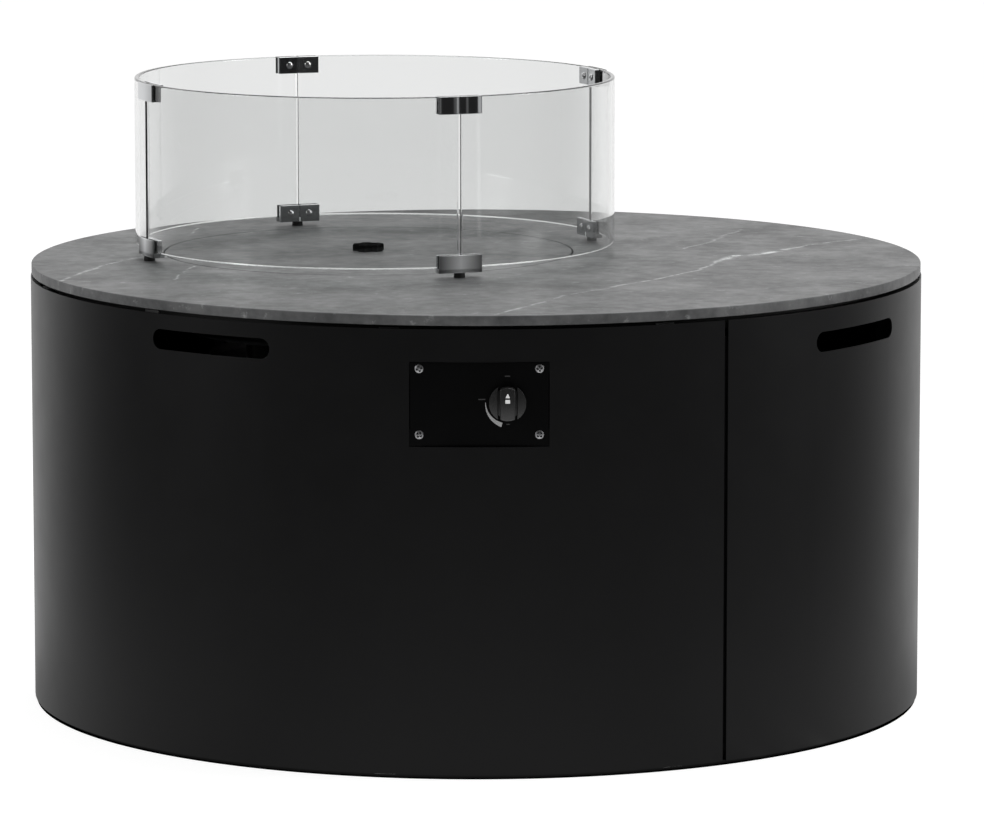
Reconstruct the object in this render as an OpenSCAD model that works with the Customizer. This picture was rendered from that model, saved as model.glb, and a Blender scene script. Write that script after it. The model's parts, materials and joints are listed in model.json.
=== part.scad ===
// Round gas fire pit with a stone top, a glass wind guard and a curved door.
// The origin is on the drum's axis at floor level. The control plate faces -Y.
// An azimuth is counted from the front, -Y, and grows towards +X.

/* [Stone top] */
// Radius of the stone top
top_r = 550; // [545:1:560]
// Height of the table above the floor
table_h = 544; // [520:1:600]
// Thickness of the stone top and of the lid
stone_t = 12; // [10:1:15]
// Chamfer on the stone's edges
stone_chamfer = 0.8; // [0.4:0.1:2]
// Height of the rubber pads under the stone and under the lid
pad_h = 2; // [1.5:0.5:3]

/* [Lid and fire bowl] */
// Azimuth of the fire bowl's axis
bowl_az = -123.2; // [-128:0.1:-118]
// Least width of the stone top beside the lid
bowl_edge = 134.3; // [132:0.1:150]
// Radius of the lid
lid_r = 255; // [240:1:258]
// Gap between the lid and the stone top
lid_gap = 2; // [1:0.5:3]
// Depth of the burner pan below its flange
pan_depth = 80; // [70:1:95]
// Width of the flange that carries the lid and clamps under the stone
flange_w = 58; // [50:1:62]
// How far the lid overlaps the pan's wall
lid_lap = 20; // [16:1:24]
// Radius of the lid's handle
handle_r = 20; // [16:1:24]
// Height of the lid's handle
handle_h = 8.5; // [7:0.5:14]
// Radius of the finger hollows between the handle's lobes
hollow_r = 9; // [6:0.5:12]
// Depth of the finger hollows
hollow_d = 3; // [2:0.5:4]
// Radius of the screw that holds the handle
handle_screw_r = 2.5; // [2:0.1:3]
// Radius of that screw's head
handle_head_r = 5; // [4:0.1:6]

/* [Drum] */
// How far the stone's edge stands back from the drum's face
top_in = 1; // [0:0.5:4]
// Thickness of the drum's sheet
shell_t = 2; // [1.5:0.1:2.5]
// Shadow gap between the stone and the drum
shadow_gap = 4; // [3:0.5:6]
// Gap between the drum's lower edge and the floor pan
shell_lift = 0.5; // [0.4:0.1:1.5]
// Azimuth of the hidden joint between the drum's two sheets
joint_az = -100; // [-110:1:-95]
// Gap in that joint
joint_gap = 0.4; // [0.3:0.1:1]
// Width of the strip behind that joint
strip_w = 40; // [30:1:60]
// Distance of the strip's ends from the drum's edges
strip_in = 14; // [6:1:20]
// Number of rivets up each side of the joint
rivet_rows = 6; // [4:1:9]
// Radius of the rivets
rivet_r = 2; // [1.5:0.1:2.5]
// Height of the rivets' heads
rivet_head = 1; // [0.6:0.1:1.4]
// Distance of the end rivets from the drum's edges
rivet_in = 30; // [24:1:40]

/* [Hand slots] */
// Height of a hand slot
slot_h = 24; // [20:1:28]
// Length of the wall's hand slots
wall_slot_len = 171; // [150:1:185]
// Length of the door's hand slot
door_slot_len = 178; // [150:1:185]
// Depth of the wall slots' centre line below the table's surface
wall_slot_drop = 46; // [44:1:64]
// Depth of the door slot's centre line below the table's surface
door_slot_drop = 55; // [52:1:74]
// Azimuth of the front left slot
wall_slot_az = -35.1; // [-38:0.1:-33]
// Azimuth of the door's slot
door_slot_az = 55.7; // [54:0.1:60]
// Azimuth of the first rear slot
rear_slot_az = 146; // [145:0.1:150]
// Azimuth of the second rear slot
last_slot_az = 236; // [234:0.1:240]

/* [Door] */
// Azimuth of the visible seam
seam_az = 31.6; // [30:0.1:33]
// Azimuth of the hinge seam
hinge_az = 90; // [88:0.5:92]
// Width of both seams
seam_gap = 5; // [4:0.5:6]
// Depth of the pivot inside the drum's inner face
pivot_in = 9; // [9:0.5:12]
// Distance of the pivot from the door's edge
pivot_edge = 9; // [8:0.5:10]
// Radius of the hinge pins
pin_r = 4; // [3:0.1:4.5]
// Running clearance of the hinge pins
pin_play = 0.05; // [0.02:0.01:0.1]
// Wall round a hinge pin
nose_wall = 4; // [3:0.5:4]
// Thickness of the hinge brackets
bracket_t = 5; // [4:0.5:6]
// Height of the gap between a frame bracket and a door bracket
bracket_gap = 0.3; // [0.2:0.1:0.5]
// Depth of the door's stiffening frame
door_frame_d = 15; // [10:1:18]
// Height of the frame's flanges
door_flange = 16; // [12:1:20]
// Width of the fixed hinge brackets' flange
bracket_w = 30; // [24:1:36]
// Thickness of that flange
bracket_flange = 1.8; // [1.2:0.1:2.2]
// Thickness of the stiffening frame, of the stop strip and of the joint strip
strip_t = 1.5; // [1.2:0.1:2]
// Width of the stop strip's leg on the fixed wall
stop_on_wall = 27; // [20:1:34]
// Width of the stop strip's leg behind the door
stop_behind = 37; // [34:1:44]
// Distance of the stop strip's ends from the drum's edges
stop_in = 20; // [18:1:40]
// Gap between the stop strip and the door's stiffening frame
frame_gap = 6.3; // [4:0.1:12]
// Distance from the pivot to the stiffening frame
frame_room = 45; // [40:1:60]
// Thickness of the door magnets
magnet_t = 2.7; // [2:0.1:4]
// Width of the door magnets
magnet_w = 20; // [14:1:22]
// Height of the door magnets
magnet_h = 40; // [30:1:60]

/* [Frame] */
// Width of the rings' flat leg
ring_w = 40; // [36:1:44]
// Thickness of the rings and of the burner pan
ring_t = 2; // [1.5:0.1:3]
// Height of the top ring's upright leg
top_leg_h = 16; // [12:1:18]
// Height of the base ring's upright leg
base_leg_h = 25; // [20:1:30]
// Width of the upright tubes
post_w = 20; // [16:1:22]
// Wall of the upright tubes and of the bearers
post_t = 1.5; // [1.2:0.1:2]
// Number of upright tubes
post_count = 8; // [5:1:8]
// Height of the pan bearers
bearer_h = 16; // [12:1:20]
// Number of tabs that hold the drum to the top ring
tab_count = 9; // [6:1:12]
// Width of a tab
tab_w = 25; // [20:1:35]
// Thickness of a tab
tab_t = 2; // [1.5:0.1:3]
// Height of a lower tab
tab_h = 14; // [10:1:20]

/* [Base] */
// Height of the rubber glides
glide_h = 3; // [2:0.5:6]
// Radius of the rubber glides
glide_r = 20; // [16:1:24]
// Thickness of the floor pan
floor_t = 1.5; // [1.2:0.1:2]
// How far the floor pan's rim stays inside the drum's outer face
rim_in = 7; // [5:1:10]
// Width of the vent slots in the floor pan
vent_w = 8; // [6:1:12]
// Length of the vent slots
vent_len = 60; // [40:1:80]
// Distance of the outer vents' centres inside the base ring
vent_in = 98; // [70:1:130]
// Distance from the outer to the inner vents' centres
vent_step = 180; // [140:1:200]
// Radius of the glides' screws
glide_screw_r = 2.5; // [2:0.1:3]
// Thickness of rubber under a glide's screw
glide_skin = 1.2; // [0.8:0.1:1.6]

/* [Controls] */
// Width of the control plate
plate_w = 160; // [150:1:164]
// Height of the control plate
plate_h = 97; // [94:1:104]
// Depth of the control plate's centre below the table's surface
plate_drop = 103.5; // [102:0.5:114]
// Thickness of the control plate
plate_t = 1.5; // [1:0.1:2]
// How far the plate's face lies behind the drum's front
plate_recess = 6; // [6:0.5:9]
// Gap between the plate and the cut-out
plate_gap = 1; // [0.5:0.1:2]
// Screw spacing across the plate
screw_dx = 139; // [130:1:141]
// Screw spacing up the plate
screw_dz = 77; // [70:1:78]
// Height of the screws' centre above the plate's centre
screw_up = 3; // [0:0.5:4]
// Radius of a plate screw's head
plate_screw_r = 5.2; // [4:0.1:5.5]
// Width of the lugs behind the plate's screws
lug_w = 16; // [12:1:20]
// Depth of those lugs
lug_d = 12; // [12:1:16]
// Place of the knob along X
knob_x = 32.5; // [25:0.5:34]
// Height of the knob above the plate's centre
knob_up = 2; // [0:0.5:4]
// Radius of the knob
knob_r = 21.5; // [18:0.5:23]
// Depth of the knob
knob_d = 17; // [14:0.5:22]
// Width of the knob's grip bar
grip_w = 18.6; // [12:0.2:20]
// Push travel of the knob
push = 3; // [2:0.5:4]

/* [Gas train] */
// Radius of the valve's barrel
valve_r = 14; // [13:0.5:18]
// Length of the valve's barrel
valve_len = 50; // [45:1:60]
// Depth from the control plate's face to the valve's barrel
valve_in = 36; // [34:1:40]
// Radius of the valve's plug
plug_r = 8; // [7:0.5:9]
// Radius of the valve's stem
stem_r = 4; // [3.5:0.1:4.5]
// Running clearance of the plug and of the stem
gas_play = 0.05; // [0.02:0.01:0.1]
// Radius of the hose nozzle
nozzle_r = 4.5; // [4:0.1:5]
// Length of the hose nozzle
nozzle_len = 26; // [20:1:32]
// Radius of the gas pipe
pipe_r = 4; // [3:0.5:5]
// Depth of the gas pipe's level run below the heat shield
pipe_drop = 46; // [42:1:56]
// Bend radius of the gas pipe
pipe_bend = 20; // [16:1:26]
// Radius of the burner ring
burner_r = 110; // [95:1:130]
// Radius of the burner's tube
burner_tube_r = 9.5; // [8:0.5:11]
// Wall of the burner's tube
burner_wall = 1.2; // [1:0.1:2]
// Height of the burner's centre line above the pan's floor
burner_lift = 28; // [26:1:34]
// Number of flame ports
port_count = 36; // [24:1:48]
// Radius of a flame port
port_r = 1.3; // [1:0.1:1.8]
// Radius of the air mixer
mixer_r = 12; // [11:0.5:14]
// Distance of the heat shield under the pan
shield_drop = 42; // [36:1:48]
// Radius of the heat shield
shield_r = 200; // [180:1:225]

/* [Wind guard] */
// Place of the guard's axis from the bowl's axis along X
guard_dx = 8.5; // [-10:0.5:10]
// Place of the guard's axis from the bowl's axis along Y
guard_dy = -1; // [-10:0.5:10]
// Outer radius of the glass
glass_r = 300; // [295:1:305]
// Thickness of the glass
glass_t = 6; // [5:0.5:8]
// Height of the glass
glass_h = 208; // [180:1:260]
// Height of the glass above the stone
glass_lift = 12; // [11:0.5:16]
// Gap between two panels
glass_gap = 3; // [3:0.5:5]
// Azimuth of the first joint about the guard's own axis
glass_az = 20.6; // [15:0.1:25]
// Width of a clip
clip_w = 54; // [48:1:60]
// Height of a clip
clip_h = 21.5; // [18:0.5:26]
// Thickness of a clip's outer plate
clip_t = 2; // [1.5:0.5:3]
// Thickness of a clip's inner block
block_t = 6; // [5:0.5:8]
// Room for the gaskets between a clip and the glass
gasket_t = 0.8; // [0.6:0.1:1.2]
// Height of the guard's feet
foot_h = 6; // [5:0.5:8]
// Radius of the guard's feet
foot_r = 7; // [5:0.5:8]
// Spacing of a clip's two screws
clip_screw_dx = 26; // [22:1:30]

/* [Hidden] */
$fn = 96;

// Facets of a full turn on the large rounds
big_fn = 180;
// Clearance where two curved faces of one assembly rest on each other
seat = 0.1;
// How far a hand slot's cutter reaches inwards through the bent wall
slot_reach = 20;
// Clearance between a shank and its hole
hole_play = 0.1;
// A cutter's extra length past each face that it cuts
past = 1;

// Heights
stone_z = table_h - stone_t;
wall_slot_z = table_h - wall_slot_drop;
door_slot_z = table_h - door_slot_drop;
plate_z = table_h - plate_drop;
seat_z = stone_z - pad_h;
post_top = seat_z - ring_t;
floor_z = glide_h + floor_t;
shell_z0 = floor_z + shell_lift;
shell_z1 = stone_z - shadow_gap;
pan_floor_z = seat_z - pan_depth;
burner_z = pan_floor_z + burner_lift;
shield_z = pan_floor_z - ring_t - shield_drop;
pipe_z = shield_z - pipe_drop;
glass_z0 = table_h + glass_lift;
glass_z1 = glass_z0 + glass_h;

// Place of the fire bowl's axis
bowl_d = top_r - bowl_edge - lid_r;
bowl_x = bowl_d * sin(bowl_az);
bowl_y = -bowl_d * cos(bowl_az);

// Radii
shell_r = top_r + top_in;
shell_ri = shell_r - shell_t;
pivot_r = shell_ri - pivot_in;
pivot_x = -(seam_gap / 2 + pivot_edge);
sweep_r = sqrt(pow(pivot_in + shell_t, 2) + pow(pivot_edge, 2));
sweep_play = 3.8;
ring_r = pivot_r - sweep_r - sweep_play;
ring_ri = ring_r - ring_w;
post_r = ring_r - ring_t - 0.5;
rim_r = shell_r - rim_in;
pan_r = lid_r - lid_lap;
nose_r = pin_r + nose_wall;

// Door: half of a seam as an angle, and the ends of its stiffening frame
seam_half = arc_deg(shell_r, seam_gap / 2);
door_a0 = seam_az + seam_half;
door_a1 = hinge_az - seam_half;
frame_a0 = seam_az - seam_half + arc_deg(shell_ri, stop_behind + frame_gap);
frame_a1 = hinge_az + arc_deg(pivot_r, pivot_x - frame_room);

// Upright tubes stand from behind the door's seam round to behind its hinge
post_a0 = hinge_az + 4;
post_a1 = seam_az + 360 - 4.2;
post_step = (post_a1 - post_a0) / (post_count - 1);

// Control plate and valve
plate_y = -(shell_r - plate_recess);
knob_z = plate_z + knob_up;
knob_y = plate_y - push - 0.5;
box_wall = 1.5;
box_back = plate_y + valve_in;
box_w = plate_w + 2 * plate_gap;
box_h = plate_h + 2 * plate_gap;
neck_r = stem_r + 5;
nut_t = 5;
collar_y = box_back - box_wall - nut_t - 13;
collar_t = 1.5;
valve_mid = box_back + valve_len * 0.5;
outlet_y = box_back + valve_len * 0.7;
port_boss = 7;
outlet_z = knob_z - valve_r - 10;
lead_back = 10;

// Gas pipe: level run from the valve to the burner's axis
run_dx = bowl_x - knob_x;
run_dy = bowl_y - outlet_y;
run_len = sqrt(run_dx * run_dx + run_dy * run_dy);
run_turn = atan2(run_dy, run_dx);
injector_z = pipe_z + pipe_bend + 4;
mixer_z = injector_z + 14;
hub_r = mixer_r + 8;
hub_h = 2 * burner_tube_r + 5;

// Thermocouple: beside the burner, towards the valve
couple_d = burner_r + burner_tube_r + 8;
couple_r = 2.5;
couple_x = bowl_x - couple_d * cos(run_turn);
couple_y = bowl_y - couple_d * sin(run_turn);
lead_r = 1.2;
lead_z = pipe_z + 15;

// Wind guard
clip_half = arc_deg(glass_r, clip_w / 2);
wing_turn = arc_deg(glass_r, clip_w / 4);
wing_w = clip_w / 2;
block_ro = glass_r - glass_t - gasket_t;
wing_y = sqrt(block_ro * block_ro - wing_w * wing_w / 4);

// Colours
stone_c = [0.47, 0.48, 0.49];
black_c = [0.09, 0.09, 0.10];
rubber_c = [0.05, 0.05, 0.05];
steel_c = [0.62, 0.63, 0.65];
bright_c = [0.78, 0.79, 0.80];
brass_c = [0.75, 0.60, 0.28];
copper_c = [0.72, 0.42, 0.26];
glass_c = [0.80, 0.88, 0.86, 0.35];

// Angle in degrees of an arc of length s at radius r
function arc_deg(r, s) = s / r * 180 / PI;

// A block bent round the Z axis, between two radii, heights and azimuths
module bent_block(ri, ro, z0, z1, a0, a1) {
    rotate([0, 0, a0 - 90])
        rotate_extrude(angle = a1 - a0, $fn = big_fn)
            translate([ri, z0]) square([ro - ri, z1 - z0]);
}

// Puts its children on the drum's wall, facing outwards along -Y
module at_az(a) {
    rotate([0, 0, a]) children();
}

// A cylinder that lies along Y from y0 to y1
module rod_y(r, y0, y1, x = 0, z = 0) {
    translate([x, y0, z]) rotate([-90, 0, 0]) cylinder(r = r, h = y1 - y0);
}

// A cylinder that lies along X from x0 to x1
module rod_x(r, x0, x1, y = 0, z = 0) {
    translate([x0, y, z]) rotate([0, 90, 0]) cylinder(r = r, h = x1 - x0);
}

// The cutter of a hand slot: straight sides and round ends, through the wall
module hand_slot(az, z, len) {
    chord = 2 * shell_r * sin(arc_deg(shell_r, len / 2));
    half = chord / 2 - slot_h / 2;
    at_az(az) translate([0, -shell_r - past, z]) {
        translate([-half, 0, -slot_h / 2]) cube([2 * half, slot_reach, slot_h]);
        for (s = [-1, 1]) rod_y(slot_h / 2, 0, slot_reach, x = s * half);
    }
}

// A round tube or rod in a U: down from za, along by run, up to zb
module u_rod(r, run, za, zb, low, bend) {
    mid = low + bend;
    translate([0, 0, mid]) cylinder(r = r, h = za - mid);
    translate([run, 0, mid]) cylinder(r = r, h = zb - mid);
    rod_x(r, bend, run - bend, z = low);
    translate([bend, 0, mid]) rotate([90, 0, 0]) rotate([0, 0, 180])
        rotate_extrude(angle = 90) translate([bend, 0]) circle(r = r);
    translate([run - bend, 0, mid]) rotate([90, 0, 0]) rotate([0, 0, 270])
        rotate_extrude(angle = 90) translate([bend, 0]) circle(r = r);
}

// Stone top

module stone_disc(r, z0) {
    c = stone_chamfer;
    z1 = z0 + stone_t;
    rotate_extrude($fn = big_fn)
        polygon([[0, z0], [r - c, z0], [r, z0 + c], [r, z1 - c], [r - c, z1], [0, z1]]);
}

module stone_top() {
    color(stone_c) difference() {
        stone_disc(top_r, stone_z);
        translate([bowl_x, bowl_y, stone_z - past])
            cylinder(r = lid_r + lid_gap, h = stone_t + 2 * past, $fn = big_fn);
    }
}

module slab_pads() {
    color(rubber_c)
        for (k = [0:7])
            at_az(22.5 + 45 * k)
                translate([0, -(ring_r + ring_ri) / 2, seat_z]) cylinder(r = 12, h = pad_h);
}

// Lid

module at_bowl() {
    translate([bowl_x, bowl_y, 0]) children();
}

handle_head_h = 2;

module lid_stone() {
    color(stone_c) at_bowl() difference() {
        stone_disc(lid_r, stone_z);
        translate([0, 0, stone_z - past])
            cylinder(r = handle_screw_r + hole_play, h = stone_t + 2 * past);
        translate([0, 0, stone_z - past])
            cylinder(r = handle_head_r + hole_play, h = handle_head_h + past);
    }
}

module lid_pads() {
    color(rubber_c) at_bowl()
        for (k = [0:3])
            at_az(45 + 90 * k)
                translate([0, -(pan_r + lid_r) / 2, seat_z]) cylinder(r = lid_lap * 0.4, h = pad_h);
}

// Low star handle: five lobes, a chamfered rim and a dished foot
module lid_handle() {
    lobes = 5;
    first_hollow = 12;
    rim = handle_h * 0.75;
    bore_d = handle_h * 0.6;
    color(black_c) at_bowl() translate([0, 0, table_h]) difference() {
        rotate_extrude()
            polygon([[0, 0.6], [handle_r - 4, 0.6], [handle_r - 4, 0], [handle_r - 0.6, 0], [handle_r, 0.6],
                [handle_r, rim], [handle_r - 1.6, handle_h - 0.5], [handle_r - 5, handle_h],
                [0, handle_h]]);
        for (k = [0:lobes - 1])
            at_az(first_hollow + k * 360 / lobes) translate([0, -handle_r - hollow_r + hollow_d, -past])
                cylinder(r = hollow_r, h = handle_h + 2 * past);
        translate([0, 0, -past]) cylinder(r = handle_screw_r, h = bore_d + past);
    }
}

module handle_screw() {
    color(steel_c) at_bowl() {
        translate([0, 0, stone_z]) cylinder(r = handle_head_r, h = handle_head_h);
        translate([0, 0, stone_z + handle_head_h / 2])
            cylinder(r = handle_screw_r, h = stone_t - handle_head_h / 2 + handle_h * 0.6);
    }
}

// Drum wall

module main_shell() {
    half = arc_deg(shell_r, joint_gap / 2);
    color(black_c) difference() {
        bent_block(shell_ri, shell_r, shell_z0, shell_z1, joint_az + half, seam_az - seam_half);
        hand_slot(wall_slot_az, wall_slot_z, wall_slot_len);
        translate([-box_w / 2, -shell_r - past, plate_z - box_h / 2]) cube([box_w, 30, box_h]);
        rivet_holes();
    }
}

module rear_shell() {
    half = arc_deg(shell_r, joint_gap / 2);
    color(black_c) difference() {
        bent_block(shell_ri, shell_r, shell_z0, shell_z1, hinge_az + seam_half, joint_az + 360 - half);
        for (a = [rear_slot_az, last_slot_az]) hand_slot(a, wall_slot_z, wall_slot_len);
        rivet_holes();
    }
}

// Places of the rivets on both sides of the hidden joint
module at_rivets() {
    step = (shell_z1 - shell_z0 - 2 * rivet_in) / (rivet_rows - 1);
    for (s = [-1, 1], k = [0:rivet_rows - 1])
        at_az(joint_az + s * arc_deg(shell_r, strip_w / 4))
            translate([0, 0, shell_z0 + rivet_in + k * step]) children();
}

module rivet_holes() {
    at_rivets() rod_y(rivet_r, -shell_r - past, -shell_ri + strip_t + past);
}

module joint_strip() {
    half = arc_deg(shell_r, strip_w / 2);
    color(black_c) difference() {
        bent_block(shell_ri - strip_t, shell_ri, shell_z0 + strip_in, shell_z1 - strip_in,
            joint_az - half, joint_az + half);
        rivet_holes();
    }
}

module shell_rivets() {
    color(black_c) at_rivets() {
        rod_y(rivet_r, -shell_r, -shell_ri + strip_t);
        rod_y(rivet_r * 1.9, -shell_r - rivet_head, -shell_r);
        rod_y(rivet_r * 1.6, -shell_ri + strip_t, -shell_ri + strip_t + rivet_head);
    }
}

// Bent tabs: one leg on the ring, a web, one leg on the wall
module tab(z0, z1, a) {
    half = arc_deg(shell_r, tab_w / 2);
    bent_block(ring_r, ring_r + tab_t, z0, z1, a - half, a + half);
    bent_block(shell_ri - tab_t, shell_ri, z0, z1, a - half, a + half);
    bent_block(ring_r, shell_ri, z0, z0 + tab_t, a - half, a + half);
}

module shell_tabs() {
    step = (post_a1 - post_a0 - 6) / (tab_count - 1);
    color(steel_c)
        for (k = [0:tab_count - 1]) {
            tab(seat_z - top_leg_h, shell_z1 - tab_t, post_a0 + 3 + k * step);
            tab(floor_z, floor_z + tab_h, post_a0 + 3 + k * step);
        }
}

// Frame

module top_ring() {
    zt = seat_z;
    leg = seat_z - top_leg_h;
    color(black_c) rotate_extrude($fn = big_fn)
        polygon([[ring_ri, zt], [ring_r, zt], [ring_r, leg], [ring_r - ring_t, leg],
            [ring_r - ring_t, zt - ring_t], [ring_ri, zt - ring_t]]);
}

module base_ring() {
    zb = floor_z;
    leg = zb + base_leg_h;
    color(black_c) difference() {
        rotate_extrude($fn = big_fn)
            polygon([[ring_ri, zb], [ring_r, zb], [ring_r, leg], [ring_r - ring_t, leg],
                [ring_r - ring_t, zb + ring_t], [ring_ri, zb + ring_t]]);
        at_glides() cylinder(r = glide_screw_r + hole_play, h = floor_z + ring_t + past);
    }
}

module frame_posts() {
    z0 = floor_z + ring_t;
    color(black_c)
        for (k = [0:post_count - 1])
            at_az(post_a0 + k * post_step)
                translate([-post_w / 2, -post_r, z0]) difference() {
                    cube([post_w, post_w, post_top - z0]);
                    translate([post_t, post_t, -past])
                        cube([post_w - 2 * post_t, post_w - 2 * post_t, post_top - z0 + 2 * past]);
                }
}

// Two tubes across the ring that carry the burner pan's flange
module pan_bearers() {
    reach = ring_ri + ring_w * 0.4;
    side = pan_r + ring_t + bearer_h * 0.2 + 2;
    color(black_c)
        for (y = [bowl_y - side - post_w, bowl_y + side]) {
            far = max(abs(y), abs(y + post_w));
            half = sqrt(reach * reach - far * far);
            translate([-half, y, post_top - bearer_h]) difference() {
                cube([2 * half, post_w, bearer_h]);
                translate([-past, post_t, post_t])
                    cube([2 * half + 2 * past, post_w - 2 * post_t, bearer_h - 2 * post_t]);
            }
        }
}

// Base

glide_ring = (ring_r + ring_ri) / 2;

// Azimuths of the glides: between the upright tubes, and two in the doorway
glide_az = concat(
    [for (k = [0:post_count - 2]) post_a0 + (k + 0.5) * post_step],
    [for (k = [1, 2]) seam_az + k * (hinge_az - seam_az) / 3]
);

module at_glides() {
    for (a = glide_az) at_az(a) translate([0, -glide_ring, 0]) children();
}

module floor_pan() {
    rim_z = 0.5;
    color(black_c) difference() {
        rotate_extrude($fn = big_fn)
            polygon([[0, glide_h], [rim_r - floor_t, glide_h], [rim_r - floor_t, rim_z], [rim_r, rim_z],
                [rim_r, floor_z], [0, floor_z]]);
        for (k = [0:11]) at_az(30 * k + 15) vent(ring_ri - vent_in);
        for (k = [0:5]) at_az(60 * k) vent(ring_ri - vent_in - vent_step);
        at_glides() cylinder(r = glide_screw_r + hole_play, h = floor_z + past);
        cylinder(r = glide_screw_r + hole_play, h = floor_z + past);
    }
}

// A vent slot that runs along the radius, centred at radius r
module vent(r) {
    half = (vent_len - vent_w) / 2;
    translate([-vent_w / 2, -r - half, 0]) cube([vent_w, 2 * half, floor_z + past]);
    for (s = [-1, 1]) translate([0, -r + s * half, 0]) cylinder(r = vent_w / 2, h = floor_z + past);
}

module glide() {
    difference() {
        rotate_extrude()
            polygon([[0, 0], [glide_r - 1, 0], [glide_r, 1], [glide_r, glide_h], [0, glide_h]]);
        translate([0, 0, glide_skin]) cylinder(r = glide_screw_r, h = glide_h);
    }
}

module glides() {
    color(rubber_c) {
        glide();
        at_glides() glide();
    }
}

module glide_screw(z) {
    translate([0, 0, glide_skin]) cylinder(r = glide_screw_r, h = z - glide_skin + past);
    translate([0, 0, z]) cylinder(r = 4.5, h = 2.8);
}

module glide_screws() {
    color(steel_c) {
        glide_screw(floor_z);
        at_glides() glide_screw(floor_z + ring_t);
    }
}

// Door

module door_panel() {
    color(black_c) difference() {
        bent_block(shell_ri, shell_r, shell_z0, shell_z1, door_a0, door_a1);
        hand_slot(door_slot_az, door_slot_z, door_slot_len);
    }
}

// Angle frame round the door's inside: a flange on the panel and a leg inwards
module door_frame() {
    ro = shell_ri;
    ri = shell_ri - door_frame_d;
    z0 = shell_z0 + 3;
    z1 = shell_z1 - 2;
    wide = arc_deg(shell_r, door_flange);
    thin = arc_deg(shell_r, strip_t);
    color(black_c) difference() {
        bent_block(ri, ro, z0, z1, frame_a0, frame_a1);
        bent_block(ri - past, ro - strip_t, z0 + strip_t, z1 - strip_t, frame_a0 + thin, frame_a1 - thin);
        bent_block(ri, ro + past, z0 + door_flange, z1 - door_flange, frame_a0 + wide, frame_a1 - wide);
    }
}

// Heights of the hinge plates, lower and upper, on the frame and on the door
low_plate = floor_z + base_leg_h - bracket_t;
high_plate = seat_z - top_leg_h;
low_arm = low_plate + bracket_t + bracket_gap;
high_arm = high_plate - bracket_gap - bracket_t;

module at_pivot() {
    at_az(hinge_az) translate([pivot_x, -pivot_r, 0]) children();
}

module door_brackets() {
    arm_end = hinge_az + arc_deg(pivot_r, pivot_x - (pin_r + nose_r) / 2);
    color(steel_c)
        for (z = [low_arm, high_arm]) difference() {
            union() {
                bent_block(pivot_r - nose_r + 1, shell_ri, z, z + bracket_t, frame_a1, arm_end);
                at_pivot() translate([0, 0, z]) cylinder(r = nose_r, h = bracket_t);
            }
            at_pivot() translate([0, 0, z - past])
                cylinder(r = pin_r + pin_play, h = bracket_t + 2 * past);
        }
}

module hinge_brackets() {
    half = arc_deg(ring_r, bracket_w / 2);
    mid = hinge_az + arc_deg(pivot_r, pivot_x);
    color(steel_c)
        for (p = [[low_plate, floor_z + 5, floor_z + base_leg_h],
                [high_plate, high_plate, shell_z1 - 2]]) difference() {
            union() {
                at_pivot() translate([0, 0, p[0]]) cylinder(r = nose_r, h = bracket_t);
                at_pivot() translate([-nose_r, 0, p[0]])
                    cube([2 * nose_r, pivot_r - ring_r + 1, bracket_t]);
                bent_block(ring_r, ring_r + bracket_flange, p[1], p[2], mid - half, mid + half);
            }
            cylinder(r = ring_r, h = table_h, $fn = big_fn);
            at_pivot() translate([0, 0, p[0] - past])
                cylinder(r = pin_r, h = bracket_t + 2 * past);
        }
}

module hinge_pins() {
    over = 3;
    color(bright_c) at_pivot() {
        translate([0, 0, low_plate]) cylinder(r = pin_r, h = low_arm + bracket_t + over - low_plate);
        translate([0, 0, high_arm - over])
            cylinder(r = pin_r, h = high_plate + bracket_t - high_arm + over);
    }
}

// Strip behind the visible seam: fixed to the wall, stepped in behind the door
stop_z0 = shell_z0 + stop_in;
stop_z1 = shell_z1 - stop_in;
stop_step = magnet_t + 0.3;

module door_stop() {
    edge = seam_az - seam_half;
    ro = shell_ri - stop_step;
    on_wall = arc_deg(shell_ri, stop_on_wall);
    behind = arc_deg(shell_ri, stop_behind);
    color(black_c) difference() {
        bent_block(ro - strip_t, shell_ri, stop_z0, stop_z1, edge - on_wall, edge + behind);
        bent_block(ro - strip_t - past, shell_ri - strip_t, stop_z0 - past, stop_z1 + past,
            edge - on_wall - past, edge - arc_deg(shell_r, strip_t));
        bent_block(ro, shell_ri + past, stop_z0 - past, stop_z1 + past, edge, edge + behind + past);
    }
}

module door_magnets() {
    ro = shell_ri - stop_step;
    edge = seam_az - seam_half;
    mid = (stop_z0 + stop_z1) / 2;
    side = arc_deg(shell_ri, (stop_behind - magnet_w) / 2);
    width = arc_deg(shell_ri, magnet_w);
    ends = [stop_z0 + magnet_h, mid, stop_z1 - 1.5 * magnet_h];
    color(rubber_c)
        for (z = ends)
            bent_block(ro, ro + magnet_t, z - magnet_h / 2, z + magnet_h / 2, edge + side, edge + side + width);
}

// Controls

// Tray behind the cut-out: walls that meet the drum's inner face, a back and four lugs
module control_box() {
    depth = shell_ri + box_back;
    color(black_c) difference() {
        intersection() {
            cylinder(r = shell_ri, h = table_h, $fn = big_fn);
            union() {
                difference() {
                    translate([-box_w / 2 - box_wall, -shell_ri, plate_z - box_h / 2 - box_wall])
                        cube([box_w + 2 * box_wall, depth, box_h + 2 * box_wall]);
                    translate([-box_w / 2, -shell_ri - past, plate_z - box_h / 2])
                        cube([box_w, depth + past - box_wall, box_h]);
                }
                for (sx = [-1, 1], sz = [-1, 1])
                    plate_lug(sx, sz);
            }
        }
        rod_y(neck_r + hole_play, box_back - box_wall - past, box_back + past, x = knob_x, z = knob_z);
        at_plate_screws() rod_y(2, 0, lug_d);
    }
}

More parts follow.
